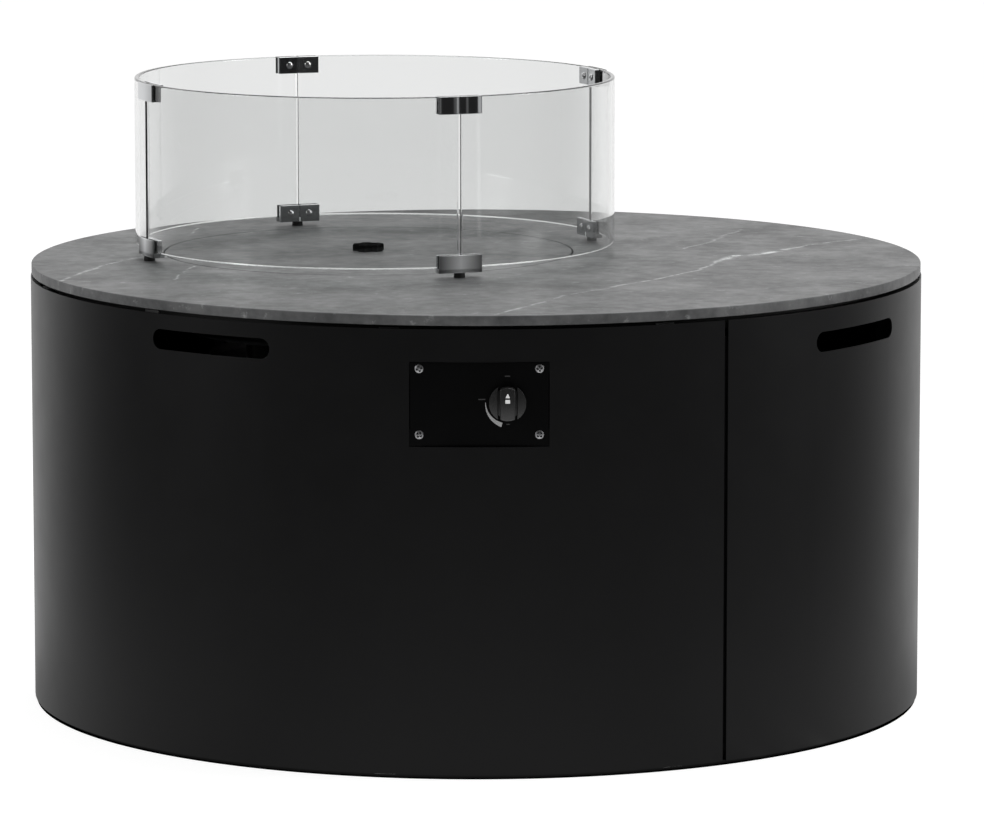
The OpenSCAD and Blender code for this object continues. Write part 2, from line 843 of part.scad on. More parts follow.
// A lug that fills one inner corner of the tray behind the plate
module plate_lug(sx, sz) {
    dz = box_h / 2 - (screw_dz / 2 + sz * screw_up);
    len_z = dz + lug_w / 2 - 2;
    len_x = box_w / 2 - screw_dx / 2 + lug_w / 2 - 2;
    translate([sx > 0 ? box_w / 2 - len_x : -box_w / 2, plate_y + plate_t,
            sz > 0 ? plate_z + box_h / 2 - len_z : plate_z - box_h / 2])
        cube([len_x, lug_d, len_z]);
}

module at_plate_screws() {
    for (sx = [-1, 1], sz = [-1, 1])
        translate([sx * screw_dx / 2, plate_y + plate_t, plate_z + screw_up + sz * screw_dz / 2])
            children();
}

module control_plate() {
    color(black_c) difference() {
        translate([-plate_w / 2, plate_y, plate_z - plate_h / 2]) cube([plate_w, plate_t, plate_h]);
        rod_y(stem_r + 1.5, plate_y - past, plate_y + plate_t + past, x = knob_x, z = knob_z);
        at_plate_screws() rod_y(2 + hole_play, -plate_t - past, past);
    }
}

// Pan heads with a cross recess
module plate_screws() {
    head = 2;
    color(bright_c) at_plate_screws() difference() {
        union() {
            rod_y(2, -plate_t, 11);
            translate([0, -plate_t, 0]) rotate([90, 0, 0]) rotate_extrude()
                polygon([[0, 0], [plate_screw_r, 0], [plate_screw_r, 0.6], [plate_screw_r - 1.2, head - 0.3],
                    [plate_screw_r - 2.4, head], [0, head]]);
        }
        for (turn = [0, 90])
            rotate([0, turn, 0]) translate([-3, -plate_t - head - past, -0.6]) cube([6, 2, 1.2]);
    }
}

// Knob: a round skirt and a grip bar that crosses it
module control_knob() {
    skirt = knob_d * 0.4;
    grip_len = knob_r * 1.8;
    color(black_c) translate([knob_x, knob_y, knob_z]) difference() {
        union() {
            rotate([90, 0, 0]) rotate_extrude()
                polygon([[0, 0], [knob_r, 0], [knob_r, skirt - 2], [knob_r - 1, skirt - 0.5],
                    [knob_r - 3, skirt], [0, skirt]]);
            intersection() {
                rotate([90, 0, 0]) rotate_extrude()
                    polygon([[0, 0], [grip_len / 2, 0], [grip_len / 2, knob_d - 2],
                        [grip_len / 2 - 2, knob_d], [0, knob_d]]);
                translate([-grip_w / 2, -knob_d - past, -knob_r])
                    cube([grip_w, knob_d + past, 2 * knob_r]);
            }
        }
        rod_y(stem_r, -knob_d * 0.7, past);
    }
}

// Gas train

// Barrel with a neck, a side boss for the inlet and a lower boss for the pipe
module gas_valve() {
    back = box_back + valve_len;
    color(brass_c) difference() {
        union() {
            rod_y(valve_r, box_back, back, x = knob_x, z = knob_z);
            rod_y(neck_r, box_back - box_wall - nut_t, box_back + past, x = knob_x, z = knob_z);
            rod_x(port_boss + 2, knob_x, knob_x + valve_r + 8, y = valve_mid, z = knob_z);
            translate([knob_x, outlet_y, outlet_z]) cylinder(r = port_boss, h = knob_z - outlet_z);
        }
        rod_y(plug_r + gas_play, box_back + 6, back - 8, x = knob_x, z = knob_z);
        rod_y(stem_r + gas_play, box_back - box_wall - nut_t - past, box_back + 7, x = knob_x, z = knob_z);
        rod_x(3, knob_x, knob_x + valve_r + 8 + past, y = valve_mid, z = knob_z);
        translate([knob_x, outlet_y, outlet_z - past]) cylinder(r = 3, h = valve_r + 10);
    }
}

module valve_nut() {
    color(brass_c) translate([knob_x, box_back - box_wall - nut_t, knob_z]) rotate([-90, 0, 0])
        difference() {
            cylinder(r = neck_r + 6, h = nut_t, $fn = 6);
            translate([0, 0, -past]) cylinder(r = neck_r, h = nut_t + 2 * past);
        }
}

// The plug turns in the barrel; the stem slides in the plug's blind bore
module valve_plug() {
    y0 = box_back + 6.5;
    y1 = box_back + valve_len - 8.5;
    color(brass_c) difference() {
        rod_y(plug_r, y0, y1, x = knob_x, z = knob_z);
        rod_y(stem_r - 1 + gas_play, y0 - past, y0 + 10 + push + 1, x = knob_x, z = knob_z);
        rod_x(2.5, knob_x - plug_r - past, knob_x + plug_r + past, y = y1 - 6, z = knob_z);
    }
}

module valve_stem() {
    step_y = box_back + 6.5 - push - 0.5;
    color(steel_c) {
        rod_y(stem_r, knob_y - knob_d * 0.7, step_y, x = knob_x, z = knob_z);
        rod_y(stem_r - 1, step_y - past, box_back + 6.5 + 10, x = knob_x, z = knob_z);
        rod_y(stem_r + 3, collar_y - collar_t, collar_y, x = knob_x, z = knob_z);
    }
}

// Return spring between the collar and the valve's neck
spring_turns = 6;
spring_wire = 0.6;
spring_steps = 14;
spring_sides = 6;

module stem_spring() {
    y0 = collar_y + spring_wire;
    y1 = box_back - box_wall - nut_t - spring_wire;
    coil_r = stem_r + spring_wire + 0.9;
    rings = spring_turns * spring_steps;
    points = [for (k = [0:rings], s = [0:spring_sides - 1])
        let (a = 360 * k / spring_steps, b = 360 * s / spring_sides, r = coil_r + spring_wire * cos(b))
            [r * cos(a), y0 + (y1 - y0) * k / rings + spring_wire * sin(b), r * sin(a)]];
    walls = [for (k = [0:rings - 1], s = [0:spring_sides - 1])
        let (i = k * spring_sides + s, j = k * spring_sides + (s + 1) % spring_sides)
            each [[i, j, i + spring_sides], [j, j + spring_sides, i + spring_sides]]];
    first = [for (s = [1:spring_sides - 2]) [0, s + 1, s]];
    last = [for (s = [1:spring_sides - 2])
        [rings * spring_sides, rings * spring_sides + s, rings * spring_sides + s + 1]];
    color(steel_c) translate([knob_x, 0, knob_z]) polyhedron(points, concat(walls, first, last));
}

// Hose nozzle with a hexagon, screwed on the valve's side boss
module gas_inlet() {
    x0 = knob_x + valve_r + 8;
    hex = 8;
    color(brass_c) translate([x0, valve_mid, knob_z]) rotate([0, 90, 0]) difference() {
        union() {
            cylinder(r = port_boss + 3, h = hex, $fn = 6);
            cylinder(r = nozzle_r, h = hex + nozzle_len);
        }
        translate([0, 0, -past]) cylinder(r = 3, h = hex + nozzle_len + 2 * past);
    }
}

module along_run() {
    translate([knob_x, outlet_y, 0]) rotate([0, 0, run_turn]) children();
}

module gas_pipe() {
    color(steel_c) along_run()
        u_rod(pipe_r, run_len, outlet_z, injector_z, pipe_z, pipe_bend);
}

module injector() {
    color(brass_c) at_bowl() translate([0, 0, injector_z]) difference() {
        union() {
            cylinder(r = 10, h = 14, $fn = 6);
            cylinder(r = mixer_r - 2, h = 20);
        }
        translate([0, 0, -past]) cylinder(r = 3, h = 15);
        cylinder(r = 0.5, h = 30, $fn = 24);
    }
}

// Air mixer: a tube with four air holes, a shoulder under the pan and a throat
module air_mixer() {
    top = burner_z - hub_h / 2 + 6;
    under = pan_floor_z - ring_t;
    ri = mixer_r - 2;
    color(steel_c) at_bowl() difference() {
        rotate_extrude()
            polygon([[ri, mixer_z], [mixer_r, mixer_z], [mixer_r, under - 4], [mixer_r + 8, under - 4],
                [mixer_r + 8, under], [mixer_r, under], [mixer_r, top], [ri, top], [ri, under],
                [ri - 2, under - 12], [ri - 2, under - 24], [ri, under - 34]]);
        for (turn = [0, 90])
            rotate([0, 0, turn + 45]) rod_x(4, -mixer_r - past, mixer_r + past, z = mixer_z + 9);
    }
}

module mixer_nut() {
    color(steel_c) at_bowl() translate([0, 0, pan_floor_z]) difference() {
        cylinder(r = mixer_r + 7, h = 6, $fn = 6);
        translate([0, 0, -past]) cylinder(r = mixer_r, h = 6 + 2 * past);
    }
}

// Drawn pan: a wide flange, a wall and a floor with a rounded corner
module burner_pan() {
    t = ring_t;
    bend = 10;
    zf = pan_floor_z;
    corner = [for (k = [0:5]) [pan_r - bend + bend * sin(18 * k), zf + bend - bend * cos(18 * k)]];
    outer = [for (k = [5:-1:0])
        [pan_r - bend + (bend + t) * sin(18 * k), zf + bend - (bend + t) * cos(18 * k)]];
    color(steel_c) at_bowl() difference() {
        rotate_extrude($fn = big_fn)
            polygon(concat([[0, zf]], corner, [[pan_r, seat_z], [pan_r + flange_w, seat_z],
                [pan_r + flange_w, seat_z - t], [pan_r + t, seat_z - t]], outer, [[0, zf - t]]));
        translate([0, 0, zf - t - past]) cylinder(r = mixer_r + hole_play, h = t + 2 * past);
        for (k = [0:5])
            at_az(60 * k) translate([0, -burner_r - 60, zf - t - past]) cylinder(r = 5, h = t + 2 * past);
        translate([couple_x - bowl_x, couple_y - bowl_y, zf - t - past])
            cylinder(r = couple_r + hole_play, h = t + 2 * past);
    }
}

// Round burner: a tube ring, four spokes and a hub, all hollow, with ports on top
module burner_ring() {
    color(steel_c) at_bowl() translate([0, 0, burner_z]) difference() {
        burner_form(0);
        burner_form(burner_wall);
        translate([0, 0, -hub_h]) cylinder(r = mixer_r + hole_play, h = hub_h);
        for (k = [0:port_count - 1])
            rotate([0, 0, (k + 0.5) * 360 / port_count]) translate([burner_r, 0, 0])
                cylinder(r = port_r, h = burner_tube_r + past, $fn = 24);
    }
}

module burner_form(wall) {
    spoke_r = burner_tube_r - 2;
    rotate_extrude() translate([burner_r, 0]) circle(r = burner_tube_r - wall, $fn = 48);
    for (k = [0:3])
        rotate([0, 0, 45 + 90 * k]) rod_x(spoke_r - wall, mixer_r, burner_r);
    translate([0, 0, -hub_h / 2 + wall]) cylinder(r = hub_r - wall, h = hub_h - 2 * wall);
}

// Three sheet legs that cradle the burner's tube
module burner_legs() {
    t = 2;
    w = 2 * burner_tube_r + 14;
    color(steel_c) at_bowl()
        for (k = [0:2])
            rotate([0, 0, 120 * k]) translate([burner_r, 0, pan_floor_z]) {
                difference() {
                    translate([-w / 2, -t / 2, 0]) cube([w, t, burner_lift - 2]);
                    rod_y(burner_tube_r + seat, -t, t, z = burner_lift);
                }
                translate([-w / 2, -t / 2, 0]) cube([w, 14, t]);
            }
}

module thermocouple() {
    color(steel_c) translate([couple_x, couple_y, 0]) {
        translate([0, 0, pan_floor_z - ring_t - 6]) cylinder(r = couple_r, h = burner_lift + ring_t + 20);
        translate([0, 0, pan_floor_z + 1.5 + 12]) cylinder(r = couple_r + 2, h = 5, $fn = 6);
    }
}

module thermocouple_bracket() {
    t = 1.5;
    color(steel_c) translate([couple_x, couple_y, pan_floor_z]) rotate([0, 0, run_turn]) difference() {
        union() {
            translate([-12, -7, 0]) cube([19, 14, t]);
            translate([-12, -7, 0]) cube([t, 14, 12 + t]);
            translate([-12, -7, 12]) cube([19, 14, t]);
        }
        translate([0, 0, -past]) cylinder(r = couple_r + hole_play, h = 12 + t + 2 * past);
    }
}

// Capillary from the thermocouple's foot to the valve's barrel
module thermocouple_lead() {
    run = sqrt(pow(couple_x - knob_x, 2) + pow(couple_y - (outlet_y + lead_back), 2));
    turn = atan2(couple_y - (outlet_y + lead_back), couple_x - knob_x);
    color(copper_c) translate([knob_x, outlet_y + lead_back, 0]) rotate([0, 0, turn])
        u_rod(lead_r, run, knob_z - valve_r, pan_floor_z - ring_t - 6, lead_z, 8);
}

module heat_shield() {
    t = 1.2;
    color(steel_c) difference() {
        at_bowl() rotate_extrude($fn = big_fn)
            polygon([[mixer_r + 6, shield_z - t], [shield_r, shield_z - t], [shield_r, shield_z + 10],
                [shield_r - t, shield_z + 10], [shield_r - t, shield_z], [mixer_r + 6, shield_z]]);
        translate([couple_x, couple_y, shield_z - t - past]) cylinder(r = lead_r + 2, h = t + 2 * past);
    }
}

module shield_spacers() {
    color(steel_c) at_bowl()
        for (k = [0:3])
            at_az(90 * k) translate([0, -shield_r * 0.75, shield_z])
                cylinder(r = 4, h = shield_drop);
}

// Wind guard

module at_guard() {
    translate([bowl_x + guard_dx, bowl_y + guard_dy, 0]) children();
}

module at_joint(k) {
    at_guard() at_az(glass_az + 90 * k) children();
}

module guard_glass(k) {
    half = arc_deg(glass_r, glass_gap / 2);
    a0 = glass_az + 90 * k;
    color(glass_c) at_guard()
        bent_block(glass_r - glass_t, glass_r, glass_z0, glass_z1, a0 + half, a0 + 90 - half);
}

// Outer plate, inner block of two flat wings and the web in the panels' gap
module clip_body(z0, z1) {
    ro = glass_r + gasket_t;
    web = glass_gap - 0.6;
    difference() {
        union() {
            bent_block(ro, ro + clip_t, z0, z1, -clip_half, clip_half);
            for (s = [-1, 1])
                rotate([0, 0, s * wing_turn]) translate([-wing_w / 2, -wing_y, z0])
                    cube([wing_w, block_t, z1 - z0]);
            translate([-web / 2, -ro - clip_t / 2, z0])
                cube([web, ro + clip_t / 2 - wing_y + block_t / 2, z1 - z0]);
        }
        at_clip_screws((z0 + z1) / 2) rod_y(2.5, -glass_r, -wing_y + block_t + past);
    }
}

module at_clip_screws(z) {
    for (s = [-1, 1])
        rotate([0, 0, s * arc_deg(glass_r, clip_screw_dx / 2)]) translate([0, 0, z]) children();
}

top_clip_z = glass_z1 - clip_h;
low_clip_z = table_h + foot_h;
low_seat_z = glass_z0 - gasket_t;

module clips_top() {
    color(bright_c) for (k = [0:3]) at_joint(k) clip_body(top_clip_z, glass_z1);
}

// The lower clips also close under the glass, where their foot is fixed
module clips_bottom() {
    color(bright_c) for (k = [0:3]) at_joint(k) difference() {
        union() {
            clip_body(low_clip_z, low_clip_z + clip_h);
            bent_block(block_ro - block_t, glass_r + gasket_t + clip_t, low_clip_z, low_seat_z,
                -clip_half, clip_half);
        }
        translate([0, -glass_r + glass_t / 2, low_clip_z - past]) cylinder(r = 2, h = 4 + past);
    }
}

// Liners on both faces of the glass, and under it in the lower clips
module clip_gaskets() {
    web = arc_deg(glass_r, glass_gap / 2);
    color(rubber_c) for (k = [0:3], s = [-1, 1]) at_joint(k) {
        a0 = s > 0 ? web : -clip_half;
        a1 = s > 0 ? clip_half : -web;
        for (z = [top_clip_z, low_seat_z + gasket_t]) {
            z1 = z == top_clip_z ? glass_z1 : low_clip_z + clip_h;
            bent_block(glass_r + seat, glass_r + gasket_t - seat, z, z1, a0, a1);
            bent_block(block_ro + seat, glass_r - glass_t - seat, z, z1, a0, a1);
        }
        bent_block(block_ro + seat, glass_r + gasket_t - seat, low_seat_z, glass_z0, a0, a1);
    }
}

// Button heads on the inner block, their shanks pressing on the glass
module clip_screws() {
    y = -wing_y + block_t;
    color(bright_c) for (k = [0:3], z = [(top_clip_z + glass_z1) / 2, low_clip_z + clip_h / 2])
        at_joint(k) at_clip_screws(z) {
            rod_y(2.5, -block_ro + seat, y + 1);
            translate([0, y, 0]) rotate([-90, 0, 0]) rotate_extrude()
                polygon([[0, 0], [4, 0], [3.7, 0.9], [2.6, 1.7], [1.2, 2.1], [0, 2.1]]);
        }
}

module guard_feet() {
    color(rubber_c) for (k = [0:3]) at_joint(k) translate([0, -glass_r + glass_t / 2, table_h]) {
        cylinder(r = foot_r, h = foot_h);
        cylinder(r = 2, h = foot_h + 3.5);
    }
}

stone_top();
slab_pads();
lid_stone();
lid_pads();
lid_handle();
handle_screw();
main_shell();
rear_shell();
joint_strip();
shell_rivets();
shell_tabs();
top_ring();
base_ring();
frame_posts();
pan_bearers();
floor_pan();
glides();
glide_screws();
door_panel();
door_frame();
door_brackets();
hinge_brackets();
hinge_pins();
door_stop();
door_magnets();
control_box();
control_plate();
plate_screws();
control_knob();
gas_valve();
valve_nut();
valve_plug();
valve_stem();
stem_spring();
gas_inlet();
gas_pipe();
injector();
air_mixer();
mixer_nut();
burner_pan();
burner_ring();
burner_legs();
thermocouple();
thermocouple_bracket();
thermocouple_lead();
heat_shield();
shield_spacers();
guard_glass(0);  // guard_glass_1
guard_glass(1);  // guard_glass_2
guard_glass(2);  // guard_glass_3
guard_glass(3);  // guard_glass_4
clips_top();
clips_bottom();
clip_gaskets();
clip_screws();
guard_feet();
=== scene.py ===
# %% [markdown]
# # A round gas fire pit, dressed
#
# The construction of the fire pit comes packed from the CAD model: a stone top with a round lid,
# a drum of black sheet steel, a curved door, a gas valve with its knob and a guard of bent glass.
# This lesson gives each of them its surface. We keep every CAD size, add the fine forms that a
# camera sees, such as rounded clip edges and polished glass edges, and write the finishes as
# shader nodes, so that nothing depends on a picture file.

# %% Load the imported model
import json
import math

import bmesh
import bpy
import numpy as np
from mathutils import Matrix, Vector


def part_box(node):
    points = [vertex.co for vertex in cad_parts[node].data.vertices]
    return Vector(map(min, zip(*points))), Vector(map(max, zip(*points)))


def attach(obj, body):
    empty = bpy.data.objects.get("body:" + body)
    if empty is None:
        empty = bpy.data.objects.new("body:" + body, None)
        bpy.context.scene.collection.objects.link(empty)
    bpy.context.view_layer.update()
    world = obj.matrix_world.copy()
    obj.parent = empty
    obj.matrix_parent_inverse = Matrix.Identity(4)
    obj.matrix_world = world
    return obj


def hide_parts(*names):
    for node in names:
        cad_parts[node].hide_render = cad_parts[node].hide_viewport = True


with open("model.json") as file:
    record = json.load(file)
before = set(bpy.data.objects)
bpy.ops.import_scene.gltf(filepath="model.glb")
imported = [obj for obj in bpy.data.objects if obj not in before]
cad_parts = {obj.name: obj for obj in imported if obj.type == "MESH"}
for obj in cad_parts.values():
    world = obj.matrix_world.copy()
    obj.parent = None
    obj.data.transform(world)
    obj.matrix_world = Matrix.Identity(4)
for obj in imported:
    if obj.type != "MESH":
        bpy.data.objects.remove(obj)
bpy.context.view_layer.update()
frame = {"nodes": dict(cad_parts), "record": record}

MM = 0.001

# %% [markdown]
# ## The camera
#
# The object was photographed from the front with a long lens, a little above the table top.
# A camera far away with a narrow view keeps the drum's rims almost parallel, as a product
# photographer wants it. The place, the turn and the focal length below were found by matching
# the rims of the top, the drum and the glass.

# %% Camera
CAMERA_AT = (-0.0497, -7.4346, 1.441)
CAMERA_DOWN_DEG = 8.4024
CAMERA_RIGHT_DEG = 0.5347
LENS_MM = 220.83
SENSOR_MM = 36

camera_data = bpy.data.cameras.new("camera")
camera_data.lens = LENS_MM
camera_data.sensor_width = SENSOR_MM
camera_data.clip_end = 100
camera = bpy.data.objects.new("camera", camera_data)
camera.location = CAMERA_AT
camera.rotation_euler = (math.radians(90 - CAMERA_DOWN_DEG), 0, -math.radians(CAMERA_RIGHT_DEG))
bpy.context.scene.collection.objects.link(camera)
bpy.context.scene.camera = camera
print("camera at", CAMERA_AT, "lens", LENS_MM)

# %% [markdown]
# ## Helpers for shader nodes
#
# A material is a small tree of nodes. Writing each link by hand is long, so one helper adds a node,
# sets its values and joins its inputs in a single call, and a few more give the sums, noises and
# mixes that every finish here uses. A node group is an effect that several materials share: it is
# built once and then placed in each tree with its own values.

# %% Node helpers
def connect(tree, value, socket):
    """Joins an input socket to another node's output, or sets it to a plain value."""
    if isinstance(value, bpy.types.NodeSocket):
        tree.links.new(value, socket)
    else:
        socket.default_value = value


def add(tree, kind, inputs=None, **settings):
    """Adds a node, sets its properties, and joins or sets the inputs given by name or number."""
    node = tree.nodes.new(kind)
    for key, value in settings.items():
        setattr(node, key, value)
    for key, value in (inputs or {}).items():
        connect(tree, value, node.inputs[key])
    return node


def feed(tree, node, **inputs):
    """Joins or sets inputs of a node by their names, with _ in place of each space."""
    for key, value in inputs.items():
        connect(tree, value, node.inputs[key.replace("_", " ")])


print("node helpers ready")

# %% Sums, noises and mixes
def maths(tree, operation, *values, clamp=False):
    """A Math node's result for up to three values, each a number or a socket."""
    node = add(tree, "ShaderNodeMath", dict(enumerate(values)), operation=operation, use_clamp=clamp)
    return node.outputs[0]


def vectors(tree, operation, *values, scale=None):
    """A Vector Math node's result: a number for a length, distance or dot product, else a vector."""
    inputs = dict(enumerate(values))
    if scale is not None:
        inputs["Scale"] = scale
    node = add(tree, "ShaderNodeVectorMath", inputs, operation=operation)
    return node.outputs["Value" if operation in ("LENGTH", "DISTANCE", "DOT_PRODUCT") else "Vector"]


def fade(tree, value, low, high, to_low=0.0, to_high=1.0):
    """Maps value from the range low to high onto to_low to to_high, held at both ends."""
    inputs = {"Value": value, "From Min": low, "From Max": high, "To Min": to_low, "To Max": to_high}
    return add(tree, "ShaderNodeMapRange", inputs).outputs["Result"]


def noise(tree, vector, scale, detail=4.0, roughness=0.5):
    """The value, from 0 to 1, of a noise that has about scale features a metre."""
    inputs = {"Vector": vector, "Scale": scale, "Detail": detail, "Roughness": roughness}
    return add(tree, "ShaderNodeTexNoise", inputs).outputs["Fac"]


def blend_values(tree, share, first, second):
    """The mix of two numbers by a share from 0 to 1."""
    return add(tree, "ShaderNodeMix", {0: share, 2: first, 3: second}, data_type="FLOAT").outputs[0]


def blend_colours(tree, share, first, second, kind="MIX"):
    """The mix of two colours by a share from 0 to 1."""
    inputs = {0: share, 6: first, 7: second}
    return add(tree, "ShaderNodeMix", inputs, data_type="RGBA", blend_type=kind).outputs[2]


def grey(level):
    """An opaque grey of that linear level."""
    return (level, level, level, 1.0)


print("sums, noises and mixes ready")

# %% Groups and materials
FLOAT, VECTOR = "NodeSocketFloat", "NodeSocketVector"


def new_group(name, inputs, outputs):
    """A shader node group with its sockets, given as {name: (kind, value)} and {name: kind}."""
    group = bpy.data.node_groups.new(name, "ShaderNodeTree")
    for key, (kind, value) in inputs.items():
        socket = group.interface.new_socket(key, in_out="INPUT", socket_type=kind)
        if value is not None:
            socket.default_value = value
    for key, kind in outputs.items():
        group.interface.new_socket(key, in_out="OUTPUT", socket_type=kind)
    return group, group.nodes.new("NodeGroupInput").outputs, group.nodes.new("NodeGroupOutput").inputs


def use_group(tree, group, **inputs):
    """Places a node group in a tree and returns its outputs."""
    node = tree.nodes.new("ShaderNodeGroup")
    node.node_tree = group
    feed(tree, node, **inputs)
    return node.outputs


def new_material(name):
    """An empty material with its tree, its Principled shader and the Object coordinates."""
    material = bpy.data.materials.new(name)
    material.use_nodes = True
    tree = material.node_tree
    tree.nodes.clear()
    shader = tree.nodes.new("ShaderNodeBsdfPrincipled")
    output = tree.nodes.new("ShaderNodeOutputMaterial")
    tree.links.new(shader.outputs[0], output.inputs["Surface"])
    place = tree.nodes.new("ShaderNodeTexCoord").outputs["Object"]
    return material, tree, shader, place


print("group and material helpers ready")

# %% [markdown]
# ## The studio
#
# The object stands on a white ground in soft light from above and from both sides, with a dark
# room behind the camera: the front of the black drum mirrors that darkness, and its two flanks mirror
# the white walls. So the surroundings are white for the camera, for glass and for gloss, and fade to
# dark for gloss alone where a ray runs back past the camera. A few narrow lit strips stand in the
# dark, off to the right, and draw the thin bright bands in the drum. The room is a node group that
# gives the light of a direction, because the world and the floor both mirror it.

# %% Dark room
FRONT_LEVEL = 0.025
WAY_BACK = (-0.05, 0.75)
BACK_POWER = 2.0
# each strip: its middle and half width in degrees from the front towards +x, and its brightness
STRIPS = ((30.0, 1.0, 0.16), (38.2, 1.6, 0.10), (38.9, 0.6, 0.40), (43.6, 0.7, 0.12), (49.9, 1.1, 0.60))

room, given, made = new_group("dark_room", {"Way": (VECTOR, None)}, {"Level": FLOAT})
level_way = vectors(room, "MULTIPLY", given["Way"], (1, 1, 0))
parts = add(room, "ShaderNodeSeparateXYZ", {0: vectors(room, "NORMALIZE", level_way)}).outputs
behind = maths(room, "POWER", fade(room, parts["Y"], *WAY_BACK), BACK_POWER)
total = maths(room, "ADD", maths(room, "MULTIPLY", behind, 1 - FRONT_LEVEL), FRONT_LEVEL)
forward = maths(room, "MULTIPLY", parts["Y"], -1.0)
front_angle = maths(room, "DEGREES", maths(room, "ARCTAN2", parts["X"], forward))
for centre, half, bright in STRIPS:
    off = maths(room, "ABSOLUTE", maths(room, "SUBTRACT", front_angle, centre))
    total = maths(room, "ADD", total, fade(room, off, half * 0.5, half, bright, 0.0))
room.links.new(total, made["Level"])
print("room with", len(STRIPS), "lit strips")

# %% Which ray asks
def ray_tests(tree):
    """Two masks from the ray that asks. The first is 1 for the camera, also where it looks through
    glass. The second is 1 in a mirror image, also one that is seen through glass."""
    path = tree.nodes.new("ShaderNodeLightPath").outputs
    bounced = maths(tree, "GREATER_THAN", path["Glossy Depth"], 0.5)
    through = maths(tree, "MULTIPLY", path["Is Transmission Ray"], maths(tree, "SUBTRACT", 1.0, bounced))
    seen = maths(tree, "MAXIMUM", path["Is Camera Ray"], through)
    image = maths(tree, "MULTIPLY", bounced, maths(tree, "SUBTRACT", 1.0, path["Is Diffuse Ray"]))
    return seen, maths(tree, "MAXIMUM", path["Is Glossy Ray"], image)


print("ray tests ready")

# %% World
ROOM_LIGHT = 0.62

world = bpy.data.worlds.new("studio")
bpy.context.scene.world = world
world.use_nodes = True
sky = world.node_tree
sky.nodes.clear()
look = sky.nodes.new("ShaderNodeTexCoord").outputs["Generated"]
seen, gloss = ray_tests(sky)
level = blend_values(sky, gloss, ROOM_LIGHT, use_group(sky, room, Way=look)["Level"])
level = blend_values(sky, seen, level, 1.0)
glow = add(sky, "ShaderNodeBackground", {"Color": grey(1.0), "Strength": level})
sky.links.new(glow.outputs[0], sky.nodes.new("ShaderNodeOutputWorld").inputs[0])
print("world light", ROOM_LIGHT)

# %% [markdown]
# ## The floor
#
# The ground is plain and white, far wider than the picture. The camera has to see it white and still
# see the drum's soft shadow on it, so most of its white is its own glow, and a pale matte coat adds
# the rest. In the drum's gloss it is as dark as the room and brighter only near the foot and straight
# in front, so the two ray tests pick what it shows. Under the drum the glow is switched off and the
# coat is painted black: a painted shadow.

# %% Floor
FLOOR_HALF = 40.0

floor_mesh = bpy.data.meshes.new("floor")
corners = [(-1, -1, 0), (1, -1, 0), (1, 1, 0), (-1, 1, 0)]
floor_mesh.from_pydata([(x * FLOOR_HALF, y * FLOOR_HALF, z) for x, y, z in corners], [], [(0, 1, 2, 3)])
floor = bpy.data.objects.new("floor", floor_mesh)
bpy.context.scene.collection.objects.link(floor)
print("floor", 2 * FLOOR_HALF, "m wide")

# %% Floor finish
FLOOR_GLOW = 0.83
FLOOR_TONE = 0.30
FLOOR_MATTE = 0.8
# within this distance of the axis the floor gets a painted shadow: no glow and a black coat
PAINTED_SHADOW_RADIUS = 0.549
# light in the gloss, as the fade from one distance to another, in metres, between two levels
LIT_AHEAD = (0.7, 3.0, 0.78, 0.0)
LIT_AROUND = (0.9, 2.0, 0.55, 0.0)
# and its share by the direction's y, which is -1 straight in front
AHEAD_WEDGE = (-0.98, -0.6, 1.0, 0.1)

material, tree, shader, place = new_material("pale_floor")
tree.nodes.remove(shader)
direct, gloss = ray_tests(tree)
distance = vectors(tree, "LENGTH", place)
outside_painted_shadow = maths(tree, "GREATER_THAN", distance, PAINTED_SHADOW_RADIUS)
before = maths(tree, "DIVIDE", add(tree, "ShaderNodeSeparateXYZ", {0: place}).outputs["Y"], distance)
ahead = maths(tree, "MULTIPLY", fade(tree, distance, *LIT_AHEAD), fade(tree, before, *AHEAD_WEDGE))
near_light = maths(tree, "MAXIMUM", ahead, fade(tree, distance, *LIT_AROUND))
mirrored = maths(tree, "ADD", use_group(tree, room, Way=place)["Level"], near_light, clamp=True)
shine = maths(tree, "MAXIMUM", direct, maths(tree, "MULTIPLY", gloss, mirrored))
# painted shadow: under the drum the glow and the coat drop to black
shine = maths(tree, "MULTIPLY", shine, outside_painted_shadow)
tone = blend_values(tree, direct, maths(tree, "MULTIPLY", mirrored, FLOOR_TONE), FLOOR_TONE)
tone = blend_colours(tree, maths(tree, "MULTIPLY", tone, outside_painted_shadow), grey(0.0), grey(1.0))
shaded = add(tree, "ShaderNodeBsdfDiffuse", {"Color": tone})
lamp = add(tree, "ShaderNodeEmission", {"Strength": maths(tree, "MULTIPLY", shine, FLOOR_GLOW)})
both = add(tree, "ShaderNodeAddShader", {0: shaded.outputs[0], 1: lamp.outputs[0]})
matte = add(tree, "ShaderNodeBsdfDiffuse", {"Color": grey(FLOOR_MATTE)})
shown = maths(tree, "MAXIMUM", direct, gloss)
pick = add(tree, "ShaderNodeMixShader", {0: shown, 1: matte.outputs[0], 2: both.outputs[0]})
tree.links.new(pick.outputs[0], tree.nodes["Material Output"].inputs["Surface"])
floor_mesh.materials.append(material)
print("floor finish:", material.name)

# %% Soft boxes
TABLE_AIM = (0, 0, 0.4)
# each lamp: its name, its place, its width and height in metres, and its power in watts
SOFT_BOXES = (
    ("top_box", (0.3, 0.6, 3.2), 2.6, 2.0, 52),
    ("left_box", (-3.0, -1.2, 1.7), 0.9, 2.2, 26),
    ("right_box", (3.0, -0.6, 1.7), 0.9, 2.2, 34),
)
for name, at, width, height, watts in SOFT_BOXES:
    lamp_data = bpy.data.lights.new(name, "AREA")
    lamp_data.shape = "RECTANGLE"
    lamp_data.size = width
    lamp_data.size_y = height
    lamp_data.energy = watts
    box = bpy.data.objects.new(name, lamp_data)
    box.location = at
    box.rotation_euler = (Vector(TABLE_AIM) - Vector(at)).to_track_quat("-Z", "Y").to_euler()
    bpy.context.scene.collection.objects.link(box)
print(len(SOFT_BOXES), "soft boxes")

